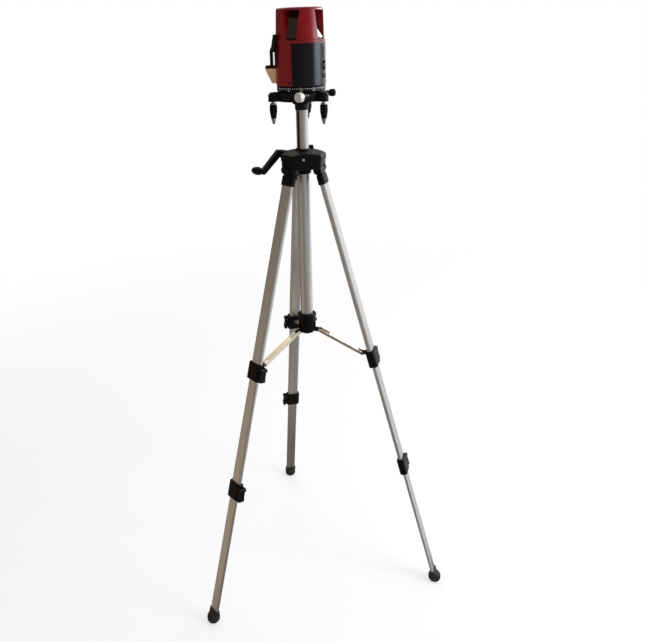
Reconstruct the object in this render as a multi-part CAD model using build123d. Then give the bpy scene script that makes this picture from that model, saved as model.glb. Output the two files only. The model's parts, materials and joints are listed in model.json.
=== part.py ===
from build123d import *
import math
import os

# Sizes in millimetres, angles in degrees. The floor is z = 0 and the column runs along Z.

# Fits and gaps
turn_fit = 0.05
slide_fit = 0.1
seat_gap = 0.05
side_gap = 0.3
past = 1.0
same_height = 0.01

# Stance of the legs
leg_spread = 15.5
leg_length = 998.3
hinge_radius = 34.0
leg_azimuth = {"right": -18.0, "back": 102.0, "left": 222.0}

# Leg tubes, each one a flat oval that slides in the one above
upper_width = 28.0
upper_depth = 11.4
tube_wall = 0.8
tube_gap = 0.3
tube_overlap = 50.0
upper_station = 413.0
lower_station = 680.0

# Hinge at the top of each leg
knuckle_radius = 8.0
knuckle_width = 22.0
pin_radius = 2.5
pin_head_radius = 4.2
pin_head_height = 1.5
cheek_thickness = 7.0
cap_drop = 10.5
cap_height = 18.5
cap_wall = 2.2
cap_roof = 4.0
cap_rounding = 2.0
neck_half_depth = 6.0

# Clamp collars and flip levers
clamp_height = 36.0
clamp_side_wall = 3.8
clamp_face_wall = 3.6
clamp_corner = 6.0
clamp_rounding = 1.6
clamp_ledge = 6.0
lever_pivot_out = 4.6
lever_pivot_drop = 9.0
lever_barrel_radius = 3.8
lever_barrel_half = 4.0
lever_length = 25.0
lever_heel = 6.0
lever_heel_cut = 1.4
lever_lip = 4.0
lever_waist = 2.1
lever_swell = 3.6
lever_shoulder = 2.9
lever_half_width = 7.0
lever_pin_radius = 1.8
ear_radius = 4.2
ear_thickness = 3.4

# Braces, lugs and spreader hub
brace_width = 12.0
brace_height = 6.5
brace_wall = 1.2
brace_lug_fork = 12.0
brace_hub_fork = 22.0
brace_rivet_radius = 2.7
brace_rivet_height = 1.2
lug_reach = 10.0
lug_rise = 13.0
lug_pin_radius = 1.8
hub_pivot_radius = 28.5
hub_pivot_rise = 42.0
hub_radius = 18.5
hub_below = 4.6
hub_above = 36.5
hub_slot_above = 20.0
hub_wall = 1.0
hub_lip = 1.5
hub_lip_height = 5.0
hub_edge = 2.0
hub_knob_azimuth = 42.0
hub_knob_radius = 4.2
hub_knob_length = 7.0
hub_knob_shank = 2.0
hub_knob_tip_gap = 0.6
hub_knob_rise = 14.0

# Feet
foot_ball_radius = 14.0
foot_ball_height = 11.0
foot_wall = 2.5
foot_sleeve = 11.0
foot_edge = 1.2

# Column, guide tube and rack
column_radius = 11.5
column_wall = 1.3
column_length = 334.0
guide_clearance = 0.4
guide_wall = 0.8
guide_flange = 1.8
guide_flange_height = 2.0
guide_flange_gap = 0.2
rack_width = 5.0
rack_base = 1.15
rack_bottom_clear = 50.0
rack_top_clear = 10.0
guide_seat = 12.0

# Crown, bush and gear
crown_above = 37.0
crown_dome = 140.0
crown_flat = 17.0
crown_corner = 8.0
crown_rounding = 5.0
crown_brow = 19.0
crown_inset = 1.4
crown_web = 3.0
crown_lower_edge = 1.2
barrel_radius = 15.6
barrel_below = 9.0
cheek_radius = 8.0
lobe_reach = 9.0
slot_clear = 1.0
bush_flange_radius = 15.0
bush_height = 3.0
bush_spigot = 6.0
bush_chamfer = 1.0
column_out = 77.0
gear_module = 1.0
gear_teeth = 12
gear_backlash = 0.3
gear_tip = 0.85
gear_root = 1.2
gear_pressure = 20.0
gear_flank_steps = 4
rack_end_teeth = 1
gear_width = 4.4
gear_pocket = 0.5
shaft_radius = 3.0
shaft_rise = 28.0
shaft_azimuth = 140.0
shaft_inner = 11.0
boss_radius = 8.0
boss_edge = 1.5
boss_reach = 45.5
shaft_flange_radius = 5.0
shaft_flange_height = 0.6
shaft_flange_gap = 0.4

# Crank
crank_length = 54.0
crank_slope = 33.0
crank_thickness = 7.5
crank_hub_radius = 7.0
crank_end_radius = 5.5
knob_radius = 8.2
knob_neck = 5.4
knob_tip = 5.6
knob_length = 22.5
knob_swell = 13.0
knob_gap = 0.4
knob_pin_radius = 2.5
knob_pin_head = 4.2
knob_pin_head_height = 1.5
knob_rounding = 2.0

# Lock knob of the column
lock_azimuth = 47.0
lock_circle = 24.0
lock_shank_radius = 2.0
lock_shank_in = 10.0
lock_knob_radius = 4.6
lock_knob_length = 5.6
lock_boss_radius = 6.0
lock_bore_extra = 1.0
small_edge = 0.8

# Column head with the stud for the instrument
head_height = 18.0
head_roof = 10.0
head_radius = 13.2
head_shoulder_radius = 17.5
head_shoulder_height = 6.0
head_slope = 3.0
stud_radius = 7.9
stud_reach = 13.0

# Three-armed base
base_height = 17.0
base_radius = 47.0
base_edge = 4.0
arm_out = 9.0
arm_end_radius = 9.0
arm_azimuth = {"left": 197.5, "right": 317.5, "back": 77.5}
level_screw_radius = 3.0
level_screw_in = 11.0
level_collar_radius = 6.0
level_collar_height = 2.4
level_collar_gap = 2.8
level_grip_radius = 6.8
level_grip_taper = 1.6
level_grip_swell = 10.0
level_grip_length = 25.0
level_tip_radius = 4.6
level_tip_length = 11.0
level_tip_end = 1.9
level_tip_band = 3.0
level_bore_extra = 4.0

# Fine-turn knob and dial lock knob on the base
tangent_azimuth = 230.0
tangent_offset = 34.0
tangent_rise = 10.0
tangent_boss_radius = 6.8
tangent_shaft_radius = 2.5
tangent_shaft_in = 18.0
tangent_knob_radius = 8.4
tangent_knob_length = 11.0
tangent_knob_gap = 0.8
dial_lock_azimuth = 17.5
dial_lock_rise = 10.0
dial_lock_radius = 6.6
dial_lock_boss = 5.0
dial_lock_boss_out = 9.5
dial_lock_length = 10.5
dial_lock_shank = 2.5
dial_lock_shank_in = 20.0
dial_lock_edge = 1.5
dial_lock_gap = 0.5

# Dial ring and laser body
dial_height = 11.0
dial_radius = 46.0
dial_edge = 1.5
pan_radius = 20.0
pan_gap = 0.4
body_radius = 47.0
body_height = 75.6
body_edge = 1.0
head_rim_height = 4.5
head_step = 1.8
head_taper = 2.2
head_total = 59.4
head_edge = 5.0

# Windows of the head, slanted panes in four recesses
window_azimuth = 249.0
window_step = 81.0
window_count = 4
window_width = 18.0
window_flare = 22.0
window_inset = 0.6
window_run = 20.6
window_lintel = 5.0
window_pane = 1.6

# Nose on the front of the body
nose_azimuth = 173.0
nose_half_angle = 36.0
hood_height = 30.0
hood_out = 9.8
hood_slope_out = 7.0
hood_top_out = 3.0
hood_lip = 3.0
hood_slope = 9.0
guard_width = 14.0
guard_thickness = 4.6
ledge_height = 5.0
pane_height = 24.6
pane_thickness = 1.5
chin_width = 28.0
chin_height = 26.4
chin_out = 18.0
chin_bottom_out = 6.0
chin_brow = 5.0
chin_edge = 1.5
chin_rise = 4.2

# Switch at the side
switch_azimuth = 334.0
switch_rise = 35.0
switch_width = 8.6
switch_height = 8.0
switch_depth = 4.0
switch_proud = 1.2
switch_travel = 3.2
switch_edge = 0.6

# Heights and positions that follow from the sizes above
spread = math.radians(leg_spread)
hinge_height = leg_length * math.cos(spread)
crown_bottom = hinge_height + crown_web
barrel_bottom = hinge_height - barrel_below
crown_top = hinge_height + crown_above
bush_top = crown_top + bush_height
base_bottom = crown_top + column_out + head_height
base_top = base_bottom + base_height
dial_top = base_top + dial_height
body_bottom = dial_top + pan_gap
body_top = body_bottom + body_height
head_top = body_top + head_total
head_base_radius = body_radius - head_step
head_top_radius = head_base_radius - head_taper
window_foot_radius = head_base_radius - window_inset
arm_circle = base_radius + arm_out
middle_width = upper_width - 2 * (tube_wall + tube_gap)
middle_depth = upper_depth - 2 * (tube_wall + tube_gap)
lower_width = middle_width - 2 * (tube_wall + tube_gap)
lower_depth = middle_depth - 2 * (tube_wall + tube_gap)
guide_inner = column_radius + guide_clearance
guide_radius = guide_inner + guide_wall
ear_gap = brace_width - 2 * brace_wall - 2 * side_gap

# Brace geometry in the plane of one leg, radius first and height second
lug_out = upper_depth / 2 + clamp_face_wall + lug_reach
lug_station = upper_station - lug_rise
lug_radius = hinge_radius + lug_station * math.sin(spread) - lug_out * math.cos(spread)
lug_height = hinge_height - lug_station * math.cos(spread) - lug_out * math.sin(spread)
hub_height = lug_height + hub_pivot_rise
brace_length = math.hypot(lug_radius - hub_pivot_radius, hub_pivot_rise)
brace_slope = math.atan2(hub_pivot_rise, lug_radius - hub_pivot_radius)


def direction(azimuth):
    """Level unit vector at an azimuth."""
    angle = math.radians(azimuth)
    return Vector(math.cos(angle), math.sin(angle), 0)


def leg_frame(azimuth):
    """Frame of a leg: origin on the hinge, X out of its flat face, Z up along it."""
    out = direction(azimuth)
    up = Vector(0, 0, 1)
    origin = out * hinge_radius + up * hinge_height
    face = out * math.cos(spread) + up * math.sin(spread)
    along = up * math.cos(spread) - out * math.sin(spread)
    return Plane(origin=origin, x_dir=face, z_dir=along).location


def radial_frame(azimuth, height):
    """Frame on the column axis with X pointing out at an azimuth."""
    return Plane(origin=(0, 0, height), x_dir=direction(azimuth), z_dir=(0, 0, 1)).location


def rod_x(radius, low, high, y=0.0, z=0.0):
    """Round bar along X."""
    return Pos((low + high) / 2, y, z) * Rot(0, 90, 0) * Cylinder(radius, high - low)


def rod_y(radius, low, high, x=0.0, z=0.0):
    """Round bar along Y."""
    return Pos(x, (low + high) / 2, z) * Rot(90, 0, 0) * Cylinder(radius, high - low)


def rod_z(radius, low, high, x=0.0, y=0.0):
    """Round bar along Z."""
    return Pos(x, y, (low + high) / 2) * Cylinder(radius, high - low)


def block(x_low, x_high, y_low, y_high, z_low, z_high):
    """Box between two corners."""
    size = Box(x_high - x_low, y_high - y_low, z_high - z_low)
    return Pos((x_low + x_high) / 2, (y_low + y_high) / 2, (z_low + z_high) / 2) * size


def oval_bar(width, depth, low, high):
    """Flat oval bar along Z with its long side along Y."""
    section = SlotOverall(width, depth, rotation=90)
    return extrude(Plane.XY.offset(low) * section, amount=high - low)


def turned(points):
    """Solid of revolution round Z from a closed outline of radius and height."""
    outline = make_face(Plane.XZ * Polyline(*points, close=True))
    return revolve(outline, Axis.Z)


def side_plate(points, low, high):
    """Plate from an outline in X and Z, thick along Y."""
    outline = make_face(Plane.XZ * Polyline(*points, close=True))
    return Pos(0, high, 0) * extrude(outline, amount=high - low)


def rim(part, height):
    """Edges of a part that lie at one height."""
    return part.edges().filter_by_position(Axis.Z, height - same_height, height + same_height)


def oval_tube(width, depth, low, high):
    """Flat oval tube."""
    inside = oval_bar(width - 2 * tube_wall, depth - 2 * tube_wall, low - past, high + past)
    return oval_bar(width, depth, low, high) - inside


# Leg pieces in the frame of the leg

cap_floor = -cap_drop - cap_height
upper_top = -cap_drop - cap_roof
upper_end = -upper_station - clamp_ledge
middle_end = -lower_station - clamp_ledge
foot_ball_station = leg_length - foot_ball_height / math.cos(spread)
lower_end = -foot_ball_station + foot_ball_radius / 2
foot_top = lower_end + foot_sleeve


def leg_cap():
    """Top cap of a leg: hinge knuckle above, sleeve over the tube below."""
    width = upper_width + 2 * cap_wall
    depth = upper_depth + 2 * cap_wall
    sleeve = oval_bar(width, depth, cap_floor, -cap_drop)
    sleeve = fillet(rim(sleeve, -cap_drop), cap_rounding)
    neck = block(-neck_half_depth, neck_half_depth, -knuckle_width / 2, knuckle_width / 2, upper_top, 0)
    knuckle = rod_y(knuckle_radius, -knuckle_width / 2, knuckle_width / 2)
    pocket = oval_bar(upper_width + 2 * seat_gap, upper_depth + 2 * seat_gap, cap_floor - past, upper_top)
    bore = rod_y(pin_radius + turn_fit, -knuckle_width, knuckle_width)
    return sleeve + neck + knuckle - pocket - bore


def clamp(station, held_width, held_depth, throat_width, throat_depth):
    """Clamp collar: the tube above ends on its ledge, the tube below slides in its throat."""
    low = -station - clamp_height / 2
    high = -station + clamp_height / 2
    ledge = -station - clamp_ledge
    width = held_width + 2 * clamp_side_wall
    depth = held_depth + 2 * clamp_face_wall
    body = extrude(Plane.XY.offset(low) * RectangleRounded(depth, width, clamp_corner), amount=clamp_height)
    body = fillet(rim(body, low) + rim(body, high), clamp_rounding)
    pivot_y = width / 2 + lever_pivot_out
    pivot_z = high - lever_pivot_drop
    inner = lever_barrel_half + side_gap
    outer = inner + ear_thickness
    for near, far in ((inner, outer), (-outer, -inner)):
        body += rod_x(ear_radius, near, far, pivot_y, pivot_z)
        root = width / 2 - clamp_side_wall / 2
        body += block(near, far, root, pivot_y, pivot_z - ear_radius, pivot_z + ear_radius)
    body -= rod_x(lever_pin_radius + turn_fit, -outer - past, outer + past, pivot_y, pivot_z)
    body -= oval_bar(held_width + 2 * seat_gap, held_depth + 2 * seat_gap, ledge, high + past)
    body -= oval_bar(throat_width + 2 * slide_fit, throat_depth + 2 * slide_fit, low - past, ledge + past)
    return body


def brace_lug():
    """Lug on the inner face of the upper clamp with the pin that the brace turns on."""
    face = -upper_depth / 2 - clamp_face_wall
    radius = brace_height / 2
    lug = rod_y(radius, -ear_gap / 2, ear_gap / 2, -lug_out, -lug_station)
    low = -lug_station - radius
    high = -lug_station + radius
    lug += block(-lug_out, face + clamp_face_wall / 2, -ear_gap / 2, ear_gap / 2, low, high)
    reach = brace_width / 2 + brace_rivet_height
    return lug + rod_y(lug_pin_radius, -reach, reach, -lug_out, -lug_station)


def lever(station, held_width):
    """Flip lever with its trunnions, closed against the side of the clamp."""
    wall = held_width / 2 + clamp_side_wall
    pivot_y = wall + lever_pivot_out
    pivot_z = -station + clamp_height / 2 - lever_pivot_drop
    barrel = rod_x(lever_barrel_radius, -lever_barrel_half, lever_barrel_half, pivot_y, pivot_z)
    pin_half = lever_barrel_half + side_gap + ear_thickness
    barrel += rod_x(lever_pin_radius, -pin_half, pin_half, pivot_y, pivot_z)
    inner = wall + lever_pivot_out - lever_barrel_radius + side_gap
    tip = pivot_z - lever_length
    points = [
        (inner, pivot_z),
        (inner, tip + lever_heel),
        (inner + lever_heel_cut, tip),
        (pivot_y + lever_swell, tip),
        (pivot_y + lever_swell, tip + lever_lip),
        (pivot_y + lever_waist, pivot_z - lever_length / 2),
        (pivot_y + lever_shoulder, pivot_z),
    ]
    outline = make_face(Plane.YZ * Polyline(*points, close=True))
    paddle = Pos(-lever_half_width, 0, 0) * extrude(outline, amount=2 * lever_half_width)
    notch_low = pivot_z - ear_radius - 2 * side_gap
    for near, far in ((lever_barrel_half, held_width), (-held_width, -lever_barrel_half)):
        paddle -= block(near, far, 0, 2 * pivot_y, notch_low, pivot_z + lever_length)
    return barrel + paddle


def foot(azimuth):
    """Rubber foot: sleeve on the lower tube, ball below, flat where it meets the floor."""
    sleeve = oval_bar(lower_width + 2 * foot_wall, lower_depth + 2 * foot_wall, -foot_ball_station, foot_top)
    sleeve = fillet(rim(sleeve, foot_top), foot_edge)
    ball = Pos(0, 0, -foot_ball_station) * Sphere(foot_ball_radius)
    pocket = oval_bar(lower_width + 2 * seat_gap, lower_depth + 2 * seat_gap, lower_end, foot_top + past)
    placed = leg_frame(azimuth) * (sleeve + ball - pocket)
    reach = 2 * leg_length
    return placed - Pos(0, 0, -foot_ball_radius) * Box(reach, reach, 2 * foot_ball_radius)


def brace(azimuth):
    """Channel brace from the lug of the clamp up to the spreader hub, open below."""
    half = brace_height / 2
    profile = Pos(brace_length / 2, 0) * SlotCenterToCenter(brace_length, brace_height)
    bar = Pos(0, brace_width / 2, 0) * extrude(Plane.XZ * profile, amount=brace_width)
    inside = brace_width / 2 - brace_wall
    far = brace_length + brace_height
    bar -= block(-brace_height, far, -inside, inside, -brace_height, half - brace_wall)
    bar -= block(-brace_height, brace_lug_fork, -inside, inside, 0, brace_height)
    bar -= block(brace_length - brace_hub_fork, far, -inside, inside, 0, brace_height)
    bar -= rod_y(lug_pin_radius + turn_fit, -brace_width, brace_width)
    for side in (1, -1):
        near = side * brace_width / 2
        head_end = near + side * brace_rivet_height
        bar += rod_y(brace_rivet_radius, min(near, head_end), max(near, head_end), brace_length)
    out = direction(azimuth)
    up = Vector(0, 0, 1)
    origin = out * lug_radius + up * lug_height
    along = up * math.sin(brace_slope) - out * math.cos(brace_slope)
    above = up * math.cos(brace_slope) + out * math.sin(brace_slope)
    return Plane(origin=origin, x_dir=along, z_dir=above).location * bar


pieces = {}

for name, azimuth in leg_azimuth.items():
    frame = leg_frame(azimuth)
    middle_top = upper_end + tube_overlap
    lower_top = middle_end + tube_overlap
    upper_clamp = clamp(upper_station, upper_width, upper_depth, middle_width, middle_depth)
    upper_clamp += brace_lug()
    seat_width = upper_width + 2 * seat_gap
    seat_depth = upper_depth + 2 * seat_gap
    upper_clamp -= oval_bar(seat_width, seat_depth, upper_end, upper_end + clamp_height)
    lower_clamp = clamp(lower_station, middle_width, middle_depth, lower_width, lower_depth)
    pieces["leg_cap_" + name] = frame * leg_cap()
    pieces["upper_tube_" + name] = frame * oval_tube(upper_width, upper_depth, upper_end, upper_top)
    pieces["upper_clamp_" + name] = frame * upper_clamp
    pieces["upper_lever_" + name] = frame * lever(upper_station, upper_width)
    pieces["middle_tube_" + name] = frame * oval_tube(middle_width, middle_depth, middle_end, middle_top)
    pieces["lower_clamp_" + name] = frame * lower_clamp
    pieces["lower_lever_" + name] = frame * lever(lower_station, middle_width)
    pieces["lower_tube_" + name] = frame * oval_tube(lower_width, lower_depth, lower_end, lower_top)
    pieces["foot_" + name] = foot(azimuth)
    pieces["brace_" + name] = brace(azimuth)

# Crown with its forks, gear pocket and crank boss

lobe_width = knuckle_width + 2 * side_gap + 2 * cheek_thickness
lobe_end = hinge_radius + lobe_reach
pitch_radius = gear_module * gear_teeth / 2
rack_pitch_radius = column_radius - gear_tip * gear_module
mesh_radius = rack_pitch_radius + pitch_radius
shaft_height = hinge_height + shaft_rise
rack_azimuth = shaft_azimuth + 90.0
guide_top = barrel_bottom + guide_seat
shaft_frame = Plane(
    origin=direction(rack_azimuth) * mesh_radius + Vector(0, 0, shaft_height),
    x_dir=direction(shaft_azimuth),
    z_dir=(0, 0, 1),
).location

outline_points = []
for azimuth in leg_azimuth.values():
    along = direction(azimuth)
    across = direction(azimuth + 90.0)
    for side in (-1, 1):
        corner = along * lobe_end + across * (side * lobe_width / 2)
        outline_points.append((corner.X, corner.Y))
outline = make_face(Polyline(*outline_points, close=True))
outline = fillet(outline.vertices(), crown_corner)
brow_height = hinge_height + crown_brow
dome_centre = crown_top - math.sqrt(crown_dome ** 2 - crown_flat ** 2)
upper = extrude(Plane.XY.offset(brow_height) * outline, amount=crown_top - brow_height)
upper &= Pos(0, 0, dome_centre) * Sphere(crown_dome)
brow_line = [edge for edge in upper.edges() if edge.center().Z > brow_height + past]
brow_line = [edge for edge in brow_line if edge.center().Z < crown_top - past]
brow_line = [edge for edge in brow_line if edge.geom_type != GeomType.LINE]
crown = fillet(brow_line, crown_rounding)
wall_outline = Plane.XY.offset(crown_bottom) * offset(outline, -crown_inset)
walls = extrude(wall_outline, amount=brow_height - crown_bottom)
crown += chamfer(rim(walls, crown_bottom), crown_lower_edge)
barrel = rod_z(barrel_radius, barrel_bottom, crown_bottom + past)
crown += chamfer(rim(barrel, barrel_bottom), crown_lower_edge)
boss = rod_x(boss_radius, -gear_width, boss_reach)
crown += shaft_frame * chamfer(boss.edges().group_by(Axis.X)[-1], boss_edge)
bore_radius = guide_radius + seat_gap
crown -= rod_z(bore_radius, barrel_bottom - past, crown_top + past)
crown -= shaft_frame * rod_x(shaft_radius + turn_fit, -shaft_inner - past, boss_reach + past)
pocket_radius = pitch_radius + gear_tip * gear_module + gear_pocket
pocket_half = gear_width / 2 + gear_pocket
crown -= shaft_frame * rod_x(pocket_radius, -pocket_half, pocket_half)
for azimuth in leg_azimuth.values():
    slot_inner = hinge_radius - knuckle_radius - slot_clear
    slot_half = knuckle_width / 2 + side_gap
    slot_roof = knuckle_radius + slot_clear
    cheek = rod_y(cheek_radius, -lobe_width / 2, lobe_width / 2, hinge_radius)
    cheek_near = hinge_radius - cheek_radius
    cheek_far = hinge_radius + cheek_radius
    cheek += block(cheek_near, cheek_far, -lobe_width / 2, lobe_width / 2, 0, crown_web + past)
    crown += radial_frame(azimuth, hinge_height) * cheek
    slot = block(slot_inner, 2 * lobe_end, -slot_half, slot_half, -2 * cheek_radius, slot_roof)
    pin_bore = rod_y(pin_radius + seat_gap, -lobe_width, lobe_width, hinge_radius)
    for low in (-lobe_width, lobe_width / 2):
        pin_bore += rod_y(pin_head_radius + side_gap, low, low + lobe_width / 2, hinge_radius)
    crown -= radial_frame(azimuth, hinge_height) * (slot + pin_bore)
lock_place = direction(lock_azimuth) * lock_circle
lock_floor = crown_top - lock_shank_in
lock_bore = rod_z(lock_shank_radius + turn_fit, lock_floor - lock_bore_extra, crown_top + past)
crown += Pos(lock_place.X, lock_place.Y, 0) * rod_z(lock_boss_radius, lock_floor, crown_top)
crown -= Pos(lock_place.X, lock_place.Y, 0) * lock_bore
pieces["crown"] = crown

pins = []
for azimuth in leg_azimuth.values():
    half = lobe_width / 2
    pin = rod_y(pin_radius, -half - pin_head_height, half + pin_head_height, hinge_radius)
    for low in (-half - pin_head_height, half):
        pin += rod_y(pin_head_radius, low, low + pin_head_height, hinge_radius)
    pins.append(radial_frame(azimuth, hinge_height) * pin)
pieces["hinge_pins"] = Compound(children=pins)

# Bush round the column and its lock knob

bush = rod_z(bush_flange_radius, crown_top, bush_top)
bush = chamfer(rim(bush, bush_top), bush_chamfer)
bush += rod_z(bore_radius - seat_gap, crown_top - bush_spigot, crown_top)
bush -= rod_z(column_radius + slide_fit, crown_top - 2 * bush_spigot, bush_top + past)
key_half = rack_width / 2 + side_gap
keyway = block(0, bore_radius - seat_gap / 2, -key_half, key_half, -2 * bush_spigot, 2 * bush_height)
bush -= radial_frame(rack_azimuth, crown_top) * keyway
pieces["column_bush"] = bush

lock_face = crown_top + side_gap
lock = rod_z(lock_shank_radius, lock_floor, lock_face + past)
lock += chamfer(rod_z(lock_knob_radius, lock_face, lock_face + lock_knob_length).edges(), small_edge)
pieces["lock_knob"] = Pos(lock_place.X, lock_place.Y, 0) * lock

# Guide tube and spreader hub

hub_bottom = hub_height - hub_below
hub_top = hub_height + hub_above
guide_bottom = hub_bottom - guide_flange_gap - guide_flange_height
guide = rod_z(guide_radius, guide_bottom, guide_top)
guide += rod_z(guide_radius + guide_flange, guide_bottom, guide_bottom + guide_flange_height)
guide -= rod_z(guide_inner, guide_bottom - past, guide_top + past)
pieces["guide_tube"] = guide

hub = turned([
    (0, hub_bottom),
    (hub_radius - hub_edge, hub_bottom),
    (hub_radius, hub_bottom + hub_edge),
    (hub_radius, hub_top - hub_lip_height - hub_lip),
    (hub_radius + hub_lip, hub_top - hub_lip_height),
    (hub_radius + hub_lip, hub_top - hub_edge),
    (hub_radius + hub_lip - hub_edge, hub_top),
    (0, hub_top),
])
hub_bore = guide_radius + slide_fit
hub_slot_half = brace_width / 2 + brace_rivet_height + side_gap
for azimuth in leg_azimuth.values():
    slot = block(
        hub_bore + hub_wall,
        2 * hub_radius,
        -hub_slot_half,
        hub_slot_half,
        -hub_below - past,
        hub_slot_above,
    )
    hub -= radial_frame(azimuth, hub_height) * slot
    ear = rod_y(brace_height / 2, -ear_gap / 2, ear_gap / 2, hub_pivot_radius)
    ear += block(0, hub_pivot_radius, -ear_gap / 2, ear_gap / 2, -brace_height / 2, brace_height / 2)
    hub += radial_frame(azimuth, hub_height) * ear
hub -= rod_z(hub_bore, hub_bottom - past, hub_top + past)
hub_knob_frame = radial_frame(hub_knob_azimuth, hub_height + hub_knob_rise)
hub -= hub_knob_frame * rod_x(hub_knob_shank + turn_fit, 0, 2 * hub_radius)
pieces["spreader_hub"] = hub

hub_knob_face = hub_radius + side_gap
hub_knob = rod_x(hub_knob_shank, guide_radius + hub_knob_tip_gap, hub_knob_face + past)
hub_knob_head = rod_x(hub_knob_radius, hub_knob_face, hub_knob_face + hub_knob_length)
hub_knob += chamfer(hub_knob_head.edges(), small_edge)
pieces["hub_knob"] = hub_knob_frame * hub_knob

# Column with its rack

column_top = base_bottom - head_roof
column_low = column_top - column_length
rack_root_radius = rack_pitch_radius - gear_root * gear_module
rack_back_radius = rack_root_radius - rack_base
slot_cut = block(0, 2 * column_radius, -rack_width / 2, rack_width / 2, column_low - past, column_top + past)
column = rod_z(column_radius, column_low, column_top)
column -= rod_z(column_radius - column_wall, column_low - past, column_top + past)
column -= radial_frame(rack_azimuth, 0) * slot_cut
pieces["column_tube"] = column

tooth_pitch = math.pi * gear_module
flank = math.tan(math.radians(gear_pressure))
tooth_half = tooth_pitch / 4 - gear_backlash / 4
tip_half = tooth_half - gear_tip * gear_module * flank
root_half = tooth_half + gear_root * gear_module * flank
rack_low = column_low + rack_bottom_clear
rack_high = column_top - rack_top_clear
teeth_below = int((shaft_height - rack_low) / tooth_pitch) - rack_end_teeth
teeth_above = int((rack_high - shaft_height) / tooth_pitch) - rack_end_teeth
rack_tip_radius = rack_pitch_radius + gear_tip * gear_module
rack_points = [(rack_back_radius, rack_low), (rack_root_radius, rack_low)]
for index in range(-teeth_below, teeth_above):
    centre = shaft_height + (index + 0.5) * tooth_pitch
    rack_points.append((rack_root_radius, centre - root_half))
    rack_points.append((rack_tip_radius, centre - tip_half))
    rack_points.append((rack_tip_radius, centre + tip_half))
    rack_points.append((rack_root_radius, centre + root_half))
rack_points.append((rack_root_radius, rack_high))
rack_points.append((rack_back_radius, rack_high))
rack = side_plate(rack_points, -rack_width / 2, rack_width / 2)
pieces["column_rack"] = radial_frame(rack_azimuth, 0) * rack

# Pinion and its shaft


def pinion_outline():
    """Outline of the pinion with involute flanks, one tooth pointing at the rack."""
    base = pitch_radius * math.cos(math.radians(gear_pressure))
    tip = pitch_radius + gear_tip * gear_module
    root = pitch_radius - gear_root * gear_module
    roll_pitch = math.tan(math.radians(gear_pressure)) - math.radians(gear_pressure)
    half_angle = (tooth_half / pitch_radius) + roll_pitch
    radii = [base + (tip - base) * step / gear_flank_steps for step in range(gear_flank_steps + 1)]
    points = []
    for tooth in range(gear_teeth):
        middle = math.pi + tooth * 2 * math.pi / gear_teeth
        flank_points = []
        for radius in radii:
            roll = math.acos(base / radius)
            flank_points.append((radius, half_angle - (math.tan(roll) - roll)))
        rising = [(root, half_angle)] + flank_points
        falling = list(reversed(rising))
        points += [(radius, middle - angle) for radius, angle in rising]
        points += [(radius, middle + angle) for radius, angle in falling]
    return [(radius * math.cos(angle), radius * math.sin(angle)) for radius, angle in points]


# The section plane of the gear has its first axis pointing away from the column.
gear_plane = Plane(origin=(-gear_width / 2, 0, 0), x_dir=(0, 1, 0), z_dir=(1, 0, 0))
pinion = extrude(gear_plane * make_face(Polyline(*pinion_outline(), close=True)), amount=gear_width)
crank_face = boss_reach + shaft_flange_gap + shaft_flange_height
crank_far = crank_face + crank_thickness
pinion += rod_x(shaft_radius, -shaft_inner, crank_far)
pinion += rod_x(shaft_flange_radius, crank_face - shaft_flange_height, crank_face)
pieces["crank_shaft"] = shaft_frame * pinion

# Crank arm and knob in the frame of the shaft, the arm pointing away from the column and down

crank_turn = Rot(-crank_slope, 0, 0)
arm_plane = Plane(origin=(crank_face, 0, 0), x_dir=(0, 1, 0), z_dir=(1, 0, 0))
lean = math.asin((crank_hub_radius - crank_end_radius) / crank_length)
arm_outline = Polyline(
    (crank_hub_radius * math.sin(lean), crank_hub_radius * math.cos(lean)),
    (crank_length + crank_end_radius * math.sin(lean), crank_end_radius * math.cos(lean)),
    (crank_length + crank_end_radius * math.sin(lean), -crank_end_radius * math.cos(lean)),
    (crank_hub_radius * math.sin(lean), -crank_hub_radius * math.cos(lean)),
    close=True,
)
arm_sketch = make_face(arm_outline) + Circle(crank_hub_radius)
arm_sketch += Pos(crank_length, 0) * Circle(crank_end_radius)
arm = extrude(arm_plane * arm_sketch, amount=crank_thickness)
arm -= rod_x(shaft_radius + seat_gap, crank_face - past, crank_far + past)
knob_face = crank_far + knob_gap
knob_far = knob_face + knob_length
arm += rod_x(knob_pin_radius, crank_far - past, knob_far + knob_gap + knob_pin_head_height, crank_length)
arm += rod_x(knob_pin_head, knob_far + knob_gap, knob_far + knob_gap + knob_pin_head_height, crank_length)
pieces["crank_arm"] = shaft_frame * crank_turn * arm

knob_side = Spline((knob_face, knob_neck), (knob_face + knob_swell, knob_radius), (knob_far, knob_tip))
knob_line = Polyline((knob_far, knob_tip), (knob_far, 0), (knob_face, 0), (knob_face, knob_neck))
knob = revolve(make_face(knob_side + knob_line), Axis.X)
knob = fillet(knob.edges().group_by(Axis.X)[-1], knob_rounding)
knob -= rod_x(knob_pin_radius + turn_fit, knob_face - past, knob_far + past)
pieces["crank_knob"] = shaft_frame * crank_turn * Pos(0, crank_length, 0) * knob

# Column head with the stud for the instrument

head_low = base_bottom - head_height
stud_top = base_bottom + stud_reach
column_head = turned([
    (0, head_low),
    (head_radius - small_edge, head_low),
    (head_radius, head_low + small_edge),
    (head_radius, base_bottom - head_shoulder_height - head_slope),
    (head_shoulder_radius, base_bottom - head_shoulder_height),
    (head_shoulder_radius, base_bottom),
    (stud_radius, base_bottom),
    (stud_radius, stud_top - small_edge),
    (stud_radius - small_edge, stud_top),
    (0, stud_top),
])
column_head -= rod_z(column_radius + seat_gap, head_low - past, column_top)
pieces["column_head"] = column_head

# Three-armed base

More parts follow.
